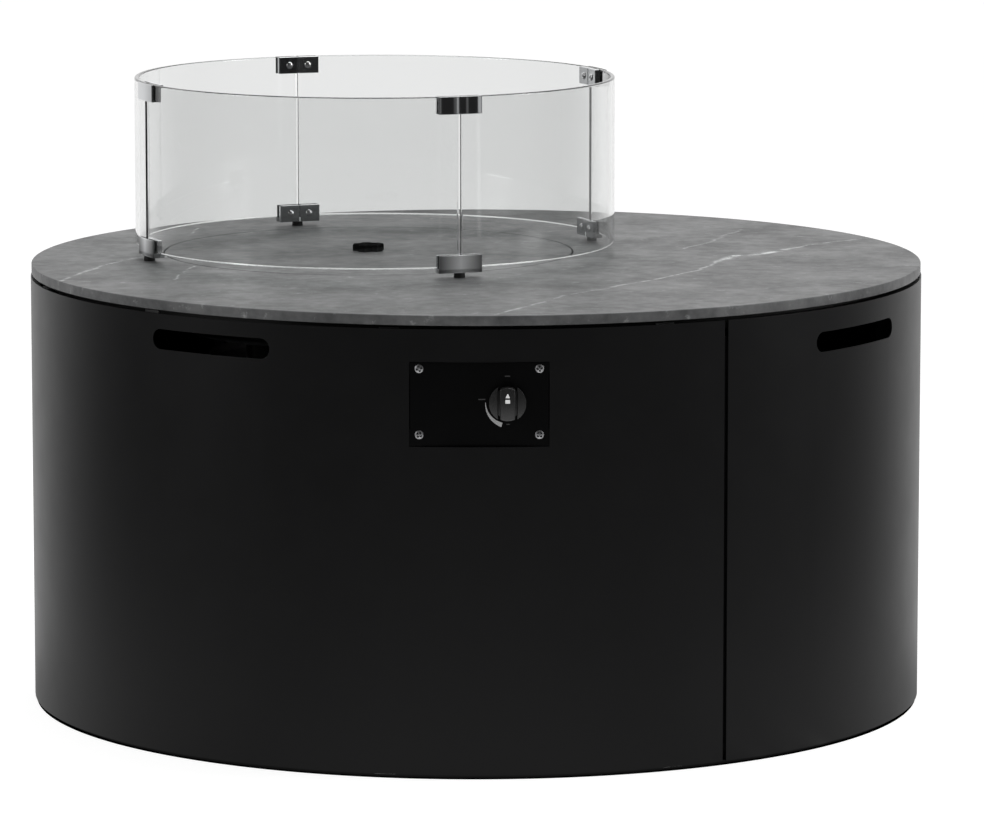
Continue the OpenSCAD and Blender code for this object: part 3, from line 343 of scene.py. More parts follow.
# %% Colour management
bpy.context.scene.view_settings.view_transform = "Standard"
print("view transform", bpy.context.scene.view_settings.view_transform)

# %% [markdown]
# ## Shared surface effects
#
# Real finishes are never even. Four small node groups give the unevenness, and each material
# places them with its own values: a cloudy mottle, a fine grain, brush marks along one direction,
# and veins that follow a broken line through the stone.

# %% Mottle and grain
mottle, given, made = new_group(
    "mottle",
    {"Place": (VECTOR, None), "Size": (FLOAT, 0.02), "Contrast": (FLOAT, 1.0)},
    {"Mask": FLOAT},
)
scale = maths(mottle, "DIVIDE", 1.0, given["Size"])
cloud = noise(mottle, given["Place"], scale, detail=6.0, roughness=0.62)
spread = maths(mottle, "MULTIPLY", maths(mottle, "SUBTRACT", cloud, 0.5), given["Contrast"])
mottle.links.new(maths(mottle, "ADD", spread, 0.5, clamp=True), made["Mask"])

grain, given, made = new_group(
    "grain",
    {"Place": (VECTOR, None), "Size": (FLOAT, 0.001), "Height": (FLOAT, 0.00002)},
    {"Normal": VECTOR, "Mask": FLOAT},
)
scale = maths(grain, "DIVIDE", 1.0, given["Size"])
speck = noise(grain, given["Place"], scale, detail=2.0)
raised = {"Height": speck, "Strength": 1.0, "Distance": given["Height"]}
grain.links.new(add(grain, "ShaderNodeBump", raised).outputs["Normal"], made["Normal"])
grain.links.new(speck, made["Mask"])
print("groups:", mottle.name, grain.name)

# %% Brush marks
brushed, given, made = new_group(
    "brush_marks",
    {"Place": (VECTOR, None), "Stretch": (VECTOR, (1.0, 1.0, 60.0)), "Size": (FLOAT, 0.02),
     "Height": (FLOAT, 0.00001)},
    {"Normal": VECTOR, "Mask": FLOAT},
)
scale = maths(brushed, "DIVIDE", 1.0, given["Size"])
pulled = vectors(brushed, "MULTIPLY", given["Place"], given["Stretch"])
lines = noise(brushed, pulled, scale, detail=5.0, roughness=0.7)
raised = {"Height": lines, "Strength": 1.0, "Distance": given["Height"]}
brushed.links.new(add(brushed, "ShaderNodeBump", raised).outputs["Normal"], made["Normal"])
brushed.links.new(lines, made["Mask"])
print("group:", brushed.name)

# %% One stretch of a vein
vein, given, made = new_group(
    "vein_stretch",
    {"Place": (VECTOR, None), "Start": (VECTOR, None), "End": (VECTOR, None), "Width": (FLOAT, 0.001)},
    {"Mask": FLOAT},
)
run = vectors(vein, "SUBTRACT", given["End"], given["Start"])
away = vectors(vein, "SUBTRACT", given["Place"], given["Start"])
reach = vectors(vein, "DOT_PRODUCT", away, run)
share = maths(vein, "DIVIDE", reach, vectors(vein, "DOT_PRODUCT", run, run), clamp=True)
gap = vectors(vein, "DISTANCE", away, vectors(vein, "SCALE", run, scale=share))
line = maths(vein, "SUBTRACT", 1.0, maths(vein, "DIVIDE", gap, given["Width"]), clamp=True)
vein.links.new(maths(vein, "POWER", line, 1.5), made["Mask"])
print("group:", vein.name)

# %% [markdown]
# ## The stone
#
# The top is a thin sintered-stone slab: dark grey, cloudy, with a few white veins that cross it from
# the front to the rear right. A vein is a broken line on the slab. We bend the place that the shader
# reads with noise first, so that each straight stretch comes out wavering, and we thin the line and
# let it drop out where another noise is low.

# %% Veins
# where each vein runs on the slab, in metres from its middle
MAIN_VEIN = [(0.02, -0.54), (0.10, -0.37), (0.15, -0.30), (0.22, -0.20), (0.27, -0.12), (0.30, -0.03)]
BRIGHT_VEIN = [(0.30, -0.03), (0.325, 0.024), (0.36, 0.045), (0.39, 0.09)]
FAR_VEIN = [(0.39, 0.09), (0.42, 0.14), (0.46, 0.18), (0.485, 0.20)]
REAR_VEIN = [(0.26, 0.10), (0.30, 0.18), (0.33, 0.27), (0.345, 0.31)]
LEFT_VEIN = [(-0.50, -0.22), (-0.463, -0.08), (-0.44, -0.02), (-0.42, 0.01), (-0.37, 0.03)]
FORK_VEIN = [(-0.365, -0.21), (-0.349, -0.07)]
HOOK_VEIN = [(-0.369, 0.245), (-0.361, 0.334)]
# each vein: its points, its width in metres and its strength
VEINS = (
    (MAIN_VEIN, 0.0042, 0.50),
    (BRIGHT_VEIN, 0.0105, 1.0),
    (FAR_VEIN, 0.0050, 0.60),
    (REAR_VEIN, 0.0042, 0.32),
    (LEFT_VEIN, 0.0046, 0.6),
    (FORK_VEIN, 0.0030, 0.5),
    (HOOK_VEIN, 0.0034, 0.6),
)
DRIFT_SCALE = 22.0
DRIFT = 0.022


def vein_mask(tree, place):
    """The greatest of all vein stretches' masks at a place bent by noise."""
    drift = add(tree, "ShaderNodeTexNoise", {"Vector": place, "Scale": DRIFT_SCALE, "Detail": 5.0})
    centred = vectors(tree, "SUBTRACT", drift.outputs["Color"], (0.5, 0.5, 0.5))
    bent = vectors(tree, "ADD", place, vectors(tree, "SCALE", centred, scale=DRIFT))
    flat = vectors(tree, "MULTIPLY", bent, (1, 1, 0))
    total = None
    for points, width, strength in VEINS:
        for start, end in zip(points, points[1:]):
            mask = use_group(tree, vein, Place=flat, Start=(*start, 0), End=(*end, 0), Width=width)["Mask"]
            mask = maths(tree, "MULTIPLY", mask, strength)
            total = mask if total is None else maths(tree, "MAXIMUM", total, mask)
    return total


print(sum(len(points) - 1 for points, _, _ in VEINS), "vein stretches")

# %% Stone
STONE_DARK = (0.030, 0.031, 0.032, 1.0)
STONE_LIGHT = (0.130, 0.131, 0.132, 1.0)
VEIN_TONE = (0.66, 0.67, 0.67, 1.0)
# wide and fine clouds: the size in metres, the contrast and the share of the whole
WIDE_CLOUD = (0.11, 2.6, 0.66)
FINE_CLOUD = (0.018, 3.4, 0.34)
# flecks in the stone and breaks in the veins: the noise's features in a metre, and the fade from its
# range to a share
FLECK_SCALE = 60.0
FLECK_FADE = (0.60, 0.74, 0.0, 0.26)
BREAK_SCALE = 40.0
BREAK_FADE = (0.43, 0.57, 0.05, 1.0)
ROUGH_FADE = (0.2, 0.8, 0.52, 0.44)


def stone_material():
    """Dark cloudy stone with white veins, satin and slightly rough to the touch."""
    material, tree, shader, place = new_material("dark_stone")
    clouds = []
    for size, contrast, share in (WIDE_CLOUD, FINE_CLOUD):
        mask = use_group(tree, mottle, Place=place, Size=size, Contrast=contrast)["Mask"]
        clouds.append(maths(tree, "MULTIPLY", mask, share))
    cloudy = maths(tree, "ADD", *clouds)
    body = blend_colours(tree, cloudy, STONE_DARK, STONE_LIGHT)
    flecks = fade(tree, noise(tree, place, FLECK_SCALE, detail=6.0, roughness=0.7), *FLECK_FADE)
    body = blend_colours(tree, flecks, body, VEIN_TONE)
    broken = fade(tree, noise(tree, place, BREAK_SCALE, detail=8.0, roughness=0.75), *BREAK_FADE)
    veins = maths(tree, "MULTIPLY", vein_mask(tree, place), broken)
    normal = use_group(tree, grain, Place=place, Size=0.0022, Height=0.00012)["Normal"]
    feed(tree, shader, Base_Color=blend_colours(tree, veins, body, VEIN_TONE), Normal=normal,
         Roughness=fade(tree, cloudy, *ROUGH_FADE), Specular_IOR_Level=0.40)
    return material


STONE = stone_material()
print("stone:", STONE.name)

# %% [markdown]
# ## Painted, plated and moulded finishes
#
# The drum is powder coated: deep black, satin, with the faint orange peel of melted powder. The clips
# are stainless steel, polished above and brushed on the outside below. Paints, metals and mouldings
# are one function each, with the values that tell one from another, and a value that is the same all
# over the surface sits on the shader's own socket.

# %% Paint
def clouded(tree, place, colour, size, contrast=1.0, low=1.0, high=1.0):
    """A cloudy mask, and the colour times low to times high where the mask goes from 0 to 1."""
    cloud = use_group(tree, mottle, Place=place, Size=size, Contrast=contrast)["Mask"]
    painted_end_shade = [(*[channel * factor for channel in colour], 1.0) for factor in (low, high)]
    return cloud, blend_colours(tree, cloud, *painted_end_shade)


def painted(name, colour, rough, level, peel, peel_height):
    """A coat of paint or powder: even colour, cloudy roughness and a fine orange peel."""
    material, tree, shader, place = new_material(name)
    cloud, tone = clouded(tree, place, colour, 0.06, high=1.5)
    normal = use_group(tree, grain, Place=place, Size=peel, Height=peel_height)["Normal"]
    feed(tree, shader, Base_Color=tone, Normal=normal, Specular_IOR_Level=level,
         Roughness=fade(tree, cloud, 0.0, 1.0, rough - 0.04, rough + 0.04))
    return material


POWDER = painted("black_powder_coat", (0.0035, 0.0035, 0.0037), 0.40, 0.20, 0.0016, 0.00003)
FRAME_PAINT = painted("black_frame_paint", (0.010, 0.010, 0.010), 0.55, 0.30, 0.0030, 0.00005)
ENAMEL = painted("black_enamel", (0.0015, 0.0015, 0.0016), 0.30, 0.12, 0.0040, 0.00001)
HANDLE = painted("black_handle_paint", (0.0015, 0.0016, 0.0016), 0.85, 0.02, 0.0012, 0.00003)
print("paints:", POWDER.name, FRAME_PAINT.name, ENAMEL.name, HANDLE.name)

# %% Metal
def metal(name, colour, rough, stretch, size, height, uneven=0.10, bare=1.0, painted_end_shade=1.0):
    """Bare metal with brush marks: the stretch is greatest across the marks. Towards a piece's ends, where
    its attribute "across" nears 1, a painted shade lowers the tone to the share that the last argument
    gives, in place of the dark room that such a bent plate mirrors there."""
    material, tree, shader, place = new_material(name)
    marks = use_group(tree, brushed, Place=place, Stretch=stretch, Size=size, Height=height)
    _, tone = clouded(tree, place, colour, 0.03, contrast=1.2, low=1 - uneven)
    # painted shade: the tone darkens towards the ends, where the plate would mirror the dark room
    if painted_end_shade < 1.0:
        across = add(tree, "ShaderNodeAttribute", attribute_name="across").outputs["Fac"]
        tone = blend_colours(tree, 1.0, tone, fade(tree, across, 0.0, 0.95, 1.0, painted_end_shade), kind="MULTIPLY")
    feed(tree, shader, Base_Color=tone, Normal=marks["Normal"], Metallic=bare,
         Roughness=fade(tree, marks["Mask"], 0.2, 0.8, rough * 0.75, rough * 1.25))
    return material


POLISHED = metal("polished_stainless", (0.54, 0.55, 0.56), 0.04, (1, 1, 30), 0.02, 0.0000003)
# the brushed plates' last value is a painted shade: their tone falls to a fifth at each clip's ends
SATIN = metal("brushed_stainless", (0.82, 0.83, 0.84), 0.34, (1, 1, 40), 0.02, 0.00002, bare=0.6, painted_end_shade=0.2)
ZINC = metal("zinc_plate", (0.52, 0.52, 0.52), 0.38, (1, 1, 1), 0.004, 0.00002, uneven=0.35)
BRIGHT = metal("bright_plate", (0.72, 0.72, 0.73), 0.18, (1, 1, 1), 0.002, 0.000004)
BRASS = metal("machined_brass", (0.72, 0.52, 0.22), 0.26, (1, 20, 1), 0.01, 0.00001)
COPPER = metal("drawn_copper", (0.75, 0.38, 0.25), 0.30, (1, 1, 1), 0.006, 0.00001)
SCREW_METAL = metal("screw_plate", (0.55, 0.55, 0.56), 0.46, (1, 1, 1), 0.002, 0.000004)
print("metals:", *[kind.name for kind in (POLISHED, SATIN, ZINC, BRIGHT, BRASS, COPPER, SCREW_METAL)])

# %% Rubber and plastic
def moulded(name, colour, rough, level, size, height):
    """Rubber or plastic from a mould: a fine spark-eroded grain and slightly uneven gloss."""
    material, tree, shader, place = new_material(name)
    fine = use_group(tree, grain, Place=place, Size=size, Height=height)
    _, tone = clouded(tree, place, colour, 0.02, high=1.6)
    feed(tree, shader, Base_Color=tone, Normal=fine["Normal"], Specular_IOR_Level=level,
         Roughness=fade(tree, fine["Mask"], 0.2, 0.8, rough - 0.06, rough + 0.06))
    return material


RUBBER = moulded("black_rubber", (0.006, 0.006, 0.006), 0.60, 0.35, 0.0012, 0.00004)
MAGNET = moulded("coated_magnet", (0.014, 0.014, 0.015), 0.45, 0.40, 0.0010, 0.00002)
KNOB_PLASTIC = moulded("black_knob_plastic", (0.011, 0.011, 0.011), 0.30, 0.95, 0.0007, 0.00002)
WHITE_INK = moulded("white_ink", (0.62, 0.62, 0.62), 0.55, 0.40, 0.0006, 0.00001)
GREY_INK = moulded("grey_ink", (0.28, 0.28, 0.28), 0.55, 0.40, 0.0006, 0.00001)
DIM_INK = moulded("dim_ink", (0.035, 0.035, 0.035), 0.55, 0.30, 0.0006, 0.00001)
print("mouldings:", *[kind.name for kind in (RUBBER, MAGNET, KNOB_PLASTIC)])
print("inks:", *[kind.name for kind in (WHITE_INK, GREY_INK, DIM_INK)])

# %% [markdown]
# ## Clear glass
#
# Tempered glass is clear, with a green-grey cast that shows most where one looks along a wall of it.
# Its polished rims are darker, because light reaches them from far inside the sheet.
# The Principled shader does the bending of light. For shadow rays and for soft bounced light the
# material lets the light through directly, because paths through two glass walls are otherwise
# rarely found and the stone inside the guard would look dark.

# %% Glass
GLASS_TINT = (0.845, 0.851, 0.849, 1.0)
EDGE_TINT = (0.30, 0.33, 0.32, 1.0)
GLASS_SHADE = (0.90, 0.93, 0.92, 1.0)
# how far a face looks up or down where the rim's tint begins and where it is full
RIM_TURN = (0.2, 0.7)


def glass_material():
    """Clear glass with a green-grey cast and barely uneven polish."""
    material, tree, shader, place = new_material("clear_glass")
    film = use_group(tree, mottle, Place=place, Size=0.08, Contrast=1.0)["Mask"]
    facing = add(tree, "ShaderNodeSeparateXYZ", {0: add(tree, "ShaderNodeNewGeometry").outputs["Normal"]})
    on_rim = fade(tree, maths(tree, "ABSOLUTE", facing.outputs["Z"]), *RIM_TURN)
    feed(tree, shader, Base_Color=blend_colours(tree, on_rim, GLASS_TINT, EDGE_TINT),
         Roughness=fade(tree, film, 0.3, 0.9, 0.0, 0.006), Transmission_Weight=1.0, IOR=1.5)
    path = tree.nodes.new("ShaderNodeLightPath").outputs
    open_way = maths(tree, "MAXIMUM", path["Is Shadow Ray"], path["Is Diffuse Ray"])
    clear = add(tree, "ShaderNodeBsdfTransparent", {"Color": GLASS_SHADE})
    pick = add(tree, "ShaderNodeMixShader", {0: open_way, 1: shader.outputs[0], 2: clear.outputs[0]})
    tree.links.new(pick.outputs[0], tree.nodes["Material Output"].inputs["Surface"])
    return material


GLASS = glass_material()
print("glass:", GLASS.name)

# %% [markdown]
# ## Reading sizes from the frame
#
# The CAD model stays the master of every size. A dressed piece therefore starts with a question to
# the frame: where is the axis of the glass, how thick is it, where do the clips begin and end. All
# vertices of a node as one array answer that with a least and a greatest value.

# %% Measuring
def points_of(mesh):
    """All vertices of a mesh as an array of places in metres."""
    flat = np.empty(len(mesh.vertices) * 3, np.float32)
    mesh.vertices.foreach_get("co", flat)
    return flat.reshape(-1, 3).astype(float)


def corners_of(*names):
    """All vertices of these CAD nodes as one array."""
    return np.concatenate([points_of(frame["nodes"][name].data) for name in names])


def span(points, axis):
    """The least and the greatest value of the points along an axis, 0 for x to 2 for z."""
    return points[:, axis].min(), points[:, axis].max()


def axis_of(points):
    """The middle of the points' extent along x and y."""
    return (points[:, :2].min(axis=0) + points[:, :2].max(axis=0)) / 2


def around(points, axis):
    """Distance from an upright axis, and azimuth in radians from the front towards +x."""
    east, north = (points[:, :2] - axis).T
    return np.hypot(east, north), np.arctan2(east, -north)


print("measures ready")

# %% Sizes of glass and stone
PANELS = [f"guard_glass_{k}" for k in range(1, 5)]
QUARTER = math.pi / 2
glass_points = corners_of(*PANELS)
GUARD_AXIS = axis_of(glass_points)
glass_radii, _ = around(glass_points, GUARD_AXIS)
GLASS_IN, GLASS_OUT = glass_radii.min(), glass_radii.max()
GLASS_LOW, GLASS_HIGH = span(glass_points, 2)
_, first_panel = around(corners_of(PANELS[0]), GUARD_AXIS)
PANEL_SPAN = first_panel.max() - first_panel.min()
FIRST_JOINT = (first_panel.min() + first_panel.max()) / 2 - QUARTER / 2
JOINTS = [FIRST_JOINT + QUARTER * k for k in range(4)]
print("glass axis", GUARD_AXIS.round(4), "radii", GLASS_IN.round(4), GLASS_OUT.round(4))

lid_points = corners_of("lid_stone")
BOWL_AXIS = axis_of(lid_points)
LID_RADIUS = around(lid_points, BOWL_AXIS)[0].max()
stone_points = corners_of("stone_top")
TOP_RADIUS = around(stone_points, np.zeros(2))[0].max()
HOLE_RADIUS = around(stone_points, BOWL_AXIS)[0].min()
STONE_LOW, STONE_HIGH = span(stone_points, 2)
print("lid axis", BOWL_AXIS.round(4), "radius", LID_RADIUS.round(4), "hole", HOLE_RADIUS.round(4))

# %% [markdown]
# ## Forms from formulas
#
# A camera tells a real edge from a drawn one by the thin light on its rounding. So each form here is
# a surface with true roundings: a box whose edges are rolled, a section turned about an axis, and a
# ring of stone between two circles that don't share a centre. The points come from numpy formulas,
# and a grid of quads joins them.

# %% Grids
def grid_faces(rows, columns, closed=False):
    """The quads between neighbouring rows and columns, numbered row by row. Where the grid is
    closed, the last column joins the first."""
    steps = np.arange(columns if closed else columns - 1)
    down, across = np.meshgrid(np.arange(rows - 1), steps, indexing="ij")
    beside = (across + 1) % columns
    here, there = down * columns, (down + 1) * columns
    return np.stack([here + across, here + beside, there + beside, there + across], axis=-1).reshape(-1, 4)


def ring_grid(rings, azimuths):
    """Rings of points and the quads between them. Each ring has its upright axis, its distance from
    it, one number or one for each azimuth, and its height. East is the distance times the sine of
    the azimuth, and north is minus the distance times the cosine."""
    circles = [np.stack([axis[0] + distance * np.sin(azimuths), axis[1] - distance * np.cos(azimuths),
                         np.full(len(azimuths), height)], axis=1) for axis, distance, height in rings]
    return np.concatenate(circles), grid_faces(len(rings), len(azimuths), closed=True)


def full_circle(count):
    """That many equal angles round the whole circle."""
    return np.linspace(0, 2 * math.pi, count, endpoint=False)


def turned_section(section, count):
    """A section of (distance, height) pairs turned about the upright axis through the origin."""
    return ring_grid([((0, 0), distance, height) for distance, height in section], full_circle(count))


def corner_arc(centre, radius, start_deg, end_deg, count=5):
    """Points of a section along an arc, angles counted from outwards towards up."""
    angles = np.radians(np.linspace(start_deg, end_deg, count))
    return [(centre[0] + radius * np.cos(a), centre[1] + radius * np.sin(a)) for a in angles]


print("grids ready")

# %% Rolled boxes
HOLD_SHARE = 0.3


def rolled_steps(low, high, radius, count, turns=3):
    """Grid lines from low to high. Over each rounded end they lie at the radius times one minus the
    tangent of equal angles, and between the ends count even steps run. A line close to each rounding
    holds the flat face flat, so that its shading doesn't bend, nor the light that glass lets through."""
    lead = radius * (1 - np.tan(np.linspace(math.pi / 4, 0, turns + 1)[:-1]))
    hold = min(HOLD_SHARE * radius, (high - low - 2 * radius) / (2 * count + 1))
    middle = np.linspace(low + radius + hold, high - radius - hold, count + 1)
    return np.concatenate([low + lead, [low + radius], middle, [high - radius], (high - lead)[::-1]])


def rolled_box(low, high, radius, counts, turns=3):
    """A box with rolled edges. Each point of the sharp box is first drawn to the nearest point of the
    box shrunk by the radius, and from there pushed out again by the radius."""
    low, high = np.array(low, float), np.array(high, float)
    lines = [rolled_steps(low[axis], high[axis], radius, counts[axis], turns) for axis in range(3)]
    sheets, faces, start = [], [], 0
    for axis in range(3):
        first, second = [other for other in range(3) if other != axis]
        one, two = np.meshgrid(lines[first], lines[second], indexing="ij")
        for side in (low[axis], high[axis]):
            sheet = np.empty((one.size, 3))
            sheet[:, first], sheet[:, second], sheet[:, axis] = one.ravel(), two.ravel(), side
            sheets.append(sheet)
            faces.append(grid_faces(len(lines[first]), len(lines[second])) + start)
            start += one.size
    sharp = np.concatenate(sheets)
    inner = np.clip(sharp, low + radius, high - radius)
    away = sharp - inner
    away *= radius / np.linalg.norm(away, axis=1, keepdims=True)
    return inner + away, np.concatenate(faces)


print("rolled boxes ready")

# %% Bending, turning and joining forms
def moved(form, by):
    """A form, which is points and faces, shifted by a step in x, y and z."""
    return form[0] + by, form[1]


def facing_front(form, at):
    """Lays a form that stands along z so that its height points to the front, along -y, and moves
    its foot to a place."""
    points, faces = form
    return np.stack([points[:, 0], -points[:, 2], points[:, 1]], axis=1) + at, faces


def wrapped(form, azimuth):
    """Bends a flat form round the glass: x runs along the outer face of the glass from the azimuth,
    and y is the distance from the guard's axis."""
    points, faces = form
    angle = azimuth + points[:, 0] / GLASS_OUT
    east = GUARD_AXIS[0] + points[:, 1] * np.sin(angle)
    north = GUARD_AXIS[1] - points[:, 1] * np.cos(angle)
    return np.stack([east, north, points[:, 2]], axis=1), faces


def swung(form, azimuth, axis=GUARD_AXIS):
    """Turns a form that faces the front, at distance -y from the axis, to an azimuth. The axis is the
    guard's where no other is given."""
    points, faces = form
    east = points[:, 0] * math.cos(azimuth) - points[:, 1] * math.sin(azimuth)
    north = points[:, 0] * math.sin(azimuth) + points[:, 1] * math.cos(azimuth)
    return np.stack([axis[0] + east, axis[1] + north, points[:, 2]], axis=1), faces


def joined(*forms):
    """Several forms, each points and faces, as one."""
    starts = np.cumsum([0] + [len(points) for points, _ in forms[:-1]])
    faces = [face + start for (_, face), start in zip(forms, starts)]
    return np.concatenate([points for points, _ in forms]), np.concatenate(faces)


print("bends and turns ready")

# %% New pieces
def new_piece(name, form, material, body, stands_for=(), smooth_deg=38):
    """An object from a form: doubled points merged, faces turned outwards, and shading smooth where
    faces meet at less than smooth_deg."""
    points, faces = form
    mesh = bpy.data.meshes.new(name)
    mesh.from_pydata(points.tolist(), [], faces.tolist())
    tidy = bmesh.new()
    tidy.from_mesh(mesh)
    bmesh.ops.remove_doubles(tidy, verts=tidy.verts, dist=1e-7)
    bmesh.ops.recalc_face_normals(tidy, faces=tidy.faces)
    tidy.to_mesh(mesh)
    tidy.free()
    mesh.shade_smooth()
    mesh.set_sharp_from_angle(angle=math.radians(smooth_deg))
    mesh.materials.append(material)
    piece = bpy.data.objects.new(name, mesh)
    bpy.context.scene.collection.objects.link(piece)
    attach(piece, body)
    if stands_for:
        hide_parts(*stands_for)
    return piece


print("piece maker ready")

# %% [markdown]
# ## Stone top and lid
#
# Both are the same slab, cut round. Their edges are eased by a millimetre, so that a thin line of
# light runs round the rim and round the seam of the lid. The hole lies off centre, so a section turned
# about one axis can't give it: here each ring of points has its own axis.

# %% Slab
EASED = 1.1 * MM
HANDLE_BORE = 3.0 * MM


def stone_ring(outer_axis, outer_radius, inner_axis, inner_radius, count=360):
    """A slab between two circles, each with its own axis. Every edge is eased by a quarter round."""
    roll = np.radians(np.linspace(0, 90, 5))
    corners = ((outer_axis, outer_radius - EASED, 1, STONE_LOW + EASED, -1),
               (outer_axis, outer_radius - EASED, 1, STONE_HIGH - EASED, 1),
               (inner_axis, inner_radius + EASED, -1, STONE_HIGH - EASED, 1),
               (inner_axis, inner_radius + EASED, -1, STONE_LOW + EASED, -1))
    rings = []
    for number, (axis, radius, side, height, up) in enumerate(corners):
        arc = [(axis, radius + side * EASED * np.sin(a), height + up * EASED * np.cos(a)) for a in roll]
        held = [(axis, radius - side * HOLD_SHARE * EASED, height + up * EASED)]
        rings += held + arc if number % 2 == 0 else arc[::-1] + held
    return ring_grid(rings + rings[:1], full_circle(count))


new_piece("top_slab", stone_ring(np.zeros(2), TOP_RADIUS, BOWL_AXIS, HOLE_RADIUS), STONE, "root",
          stands_for=["stone_top"])
new_piece("lid_slab", stone_ring(BOWL_AXIS, LID_RADIUS, BOWL_AXIS, HANDLE_BORE), STONE, "lid",
          stands_for=["lid_stone"])
print("slab and lid, eased by", EASED / MM, "mm")

# %% [markdown]
# ## Lid handle
#
# The lid is lifted by a low star handle, a casting with five lobes and a hollow for a finger between
# each two. Its outline is one formula over the azimuth, so the same line, drawn in a little, gives
# each ring from the foot over the rounded rim to the dished top.

# %% Handle outline
LOBES = 5
FIRST_HOLLOW = math.radians(12)
HOLLOW_RADIUS = 8.0 * MM
HOLLOW_DEPTH = 5.0 * MM
LOBE_SHARPNESS = 1.1 / MM
handle_points = corners_of("lid_handle")
HANDLE_RADIUS = around(handle_points, BOWL_AXIS)[0].max()
HANDLE_LOW, HANDLE_HIGH = span(handle_points, 2)


def star_outline(azimuths):
    """Distance of the handle's side at each azimuth. It is the lesser of the full radius and the near
    side of a finger hollow, a circle set outside, and the soft minimum of the two rounds the lobes."""
    centre = HANDLE_RADIUS + HOLLOW_RADIUS - HOLLOW_DEPTH
    pitch = 2 * math.pi / LOBES
    off = (azimuths - FIRST_HOLLOW + pitch / 2) % pitch - pitch / 2
    inside = np.maximum(HOLLOW_RADIUS ** 2 - (centre * np.sin(off)) ** 2, 0)
    near = centre * np.cos(off) - np.sqrt(inside)
    weights = np.exp(-LOBE_SHARPNESS * HANDLE_RADIUS) + np.exp(-LOBE_SHARPNESS * near)
    return -np.log(weights) / LOBE_SHARPNESS


print("handle", round(2 * HANDLE_RADIUS / MM, 1), "mm across, with", LOBES, "lobes")

# %% Handle
HANDLE_ROLL = 1.8 * MM
FOOT_ROLL = 0.5 * MM
# steps of the recessed foot and of the dished top: how far in, and how far above the foot's face or
# below the top, both in millimetres
RECESS = ((6, 0.5), (4, 0.5), (4, 0.0), (0.5, 0.0))
DISH = ((5, 0.6), (10, 1.6))
DISH_DEPTH = 2.0 * MM


def star_handle(count=240):
    """Rings of the star outline, drawn in by the quarter rounds at foot and rim, then a dished top."""
    azimuths = full_circle(count)
    side = star_outline(azimuths)
    steps = [(inset * MM, HANDLE_LOW + up * MM) for inset, up in RECESS] + [(0.0, HANDLE_LOW + FOOT_ROLL)]
    steps += [(HANDLE_ROLL * (1 - np.cos(a)), HANDLE_HIGH - HANDLE_ROLL * (1 - np.sin(a)))
              for a in np.radians(np.linspace(0, 90, 9))]
    steps += [(inset * MM, HANDLE_HIGH - down * MM) for inset, down in DISH]
    rings = [(BOWL_AXIS, (side - inset).clip(0), height) for inset, height in steps]
    centre = np.zeros(count)
    first, last = (BOWL_AXIS, centre, HANDLE_LOW + FOOT_ROLL), (BOWL_AXIS, centre, HANDLE_HIGH - DISH_DEPTH)
    return ring_grid([first, *rings, last], azimuths)


new_piece("star_handle", star_handle(), HANDLE, "lid", stands_for=["lid_handle"])
print("handle dished by", DISH_DEPTH / MM, "mm")

# %% [markdown]
# ## Wind guard
#
# Four panels of bent glass meet in four clips. A panel has polished pencil edges, almost half round,
# which bend the light into a bright and a dark line side by side. It is a flat box with rolled edges
# that is bent round the guard's axis, because the rolling is simple while the box is flat.

# %% Glass panels
GLASS_ROLL = 2.0 * MM

reach = PANEL_SPAN / 2 * GLASS_OUT
flat_panel = rolled_box((-reach, GLASS_IN, GLASS_LOW), (reach, GLASS_OUT, GLASS_HIGH), GLASS_ROLL,
                        (200, 1, 6), turns=6)
for joint, name in zip(JOINTS, PANELS):
    new_piece(name.replace("guard_glass", "glass_panel"), wrapped(flat_panel, joint + QUARTER / 2), GLASS,
              "guard", stands_for=[name])
print("panels of", round(math.degrees(PANEL_SPAN), 2), "degrees")

# %% [markdown]
# ## Clips, screws and feet
#
# A clip is a bent plate outside, two flat wings inside and a web through the gap between two panels,
# and below also a foot under the glass. The lower plates are brushed, and their tone holds a painted
# shade: bright in the middle and darker towards the ends, where the plate would mirror the dark room.
# An attribute holds how far each point lies from the clip's middle, and the finish reads it. Each wing
# has one screw with a button head, and each lower clip one rubber foot.

# %% Clips
PLATE_ROLL = 0.6 * MM
WING_ROLL = 0.8 * MM
WEB_ROLL = 0.2 * MM
WEB_SLACK = 0.3 * MM
WEB_INSET = 0.5 * MM
CHANNEL = 2.0 * MM
WING_T = 6.0 * MM
PLATE_T = 2.0 * MM
# the gasket between clip and glass
LINER_T = 0.8 * MM
JOINT_GAP = (QUARTER - PANEL_SPAN) * GLASS_OUT
PLATE_OUT = GLASS_OUT + LINER_T + PLATE_T
CLIP_IN = GLASS_IN - LINER_T


def from_joint(points):
    """How far each point lies from the nearest joint between panels, along the glass's outer face."""
    _, azimuths = around(points, GUARD_AXIS)
    return np.abs((azimuths - FIRST_JOINT + QUARTER / 2) % QUARTER - QUARTER / 2) * GLASS_OUT


upper, lower = corners_of("clips_top"), corners_of("clips_bottom")
TOP_SPAN, LOW_SPAN = span(upper, 2), span(lower, 2)
CLIP_HALF = from_joint(upper).max()
WING_WIDTH = CLIP_HALF - CHANNEL / 2
WING_FACE = math.sqrt(CLIP_IN ** 2 - WING_WIDTH ** 2 / 4)
print("clips", round(2 * CLIP_HALF / MM, 1), "mm wide")


def clip_plate(joint, low, high, foot_top=None):
    """A clip's bent outer plate, and where it has a foot the plate under the glass."""
    plate = rolled_box((-CLIP_HALF, GLASS_OUT + LINER_T, low), (CLIP_HALF, PLATE_OUT, high), PLATE_ROLL,
                       (24, 1, 4))
    if foot_top is None:
        return wrapped(plate, joint)
    foot = rolled_box((-CLIP_HALF, CLIP_IN - WING_T, low), (CLIP_HALF, PLATE_OUT, foot_top), PLATE_ROLL,
                      (24, 4, 1))
    return joined(wrapped(plate, joint), wrapped(foot, joint))


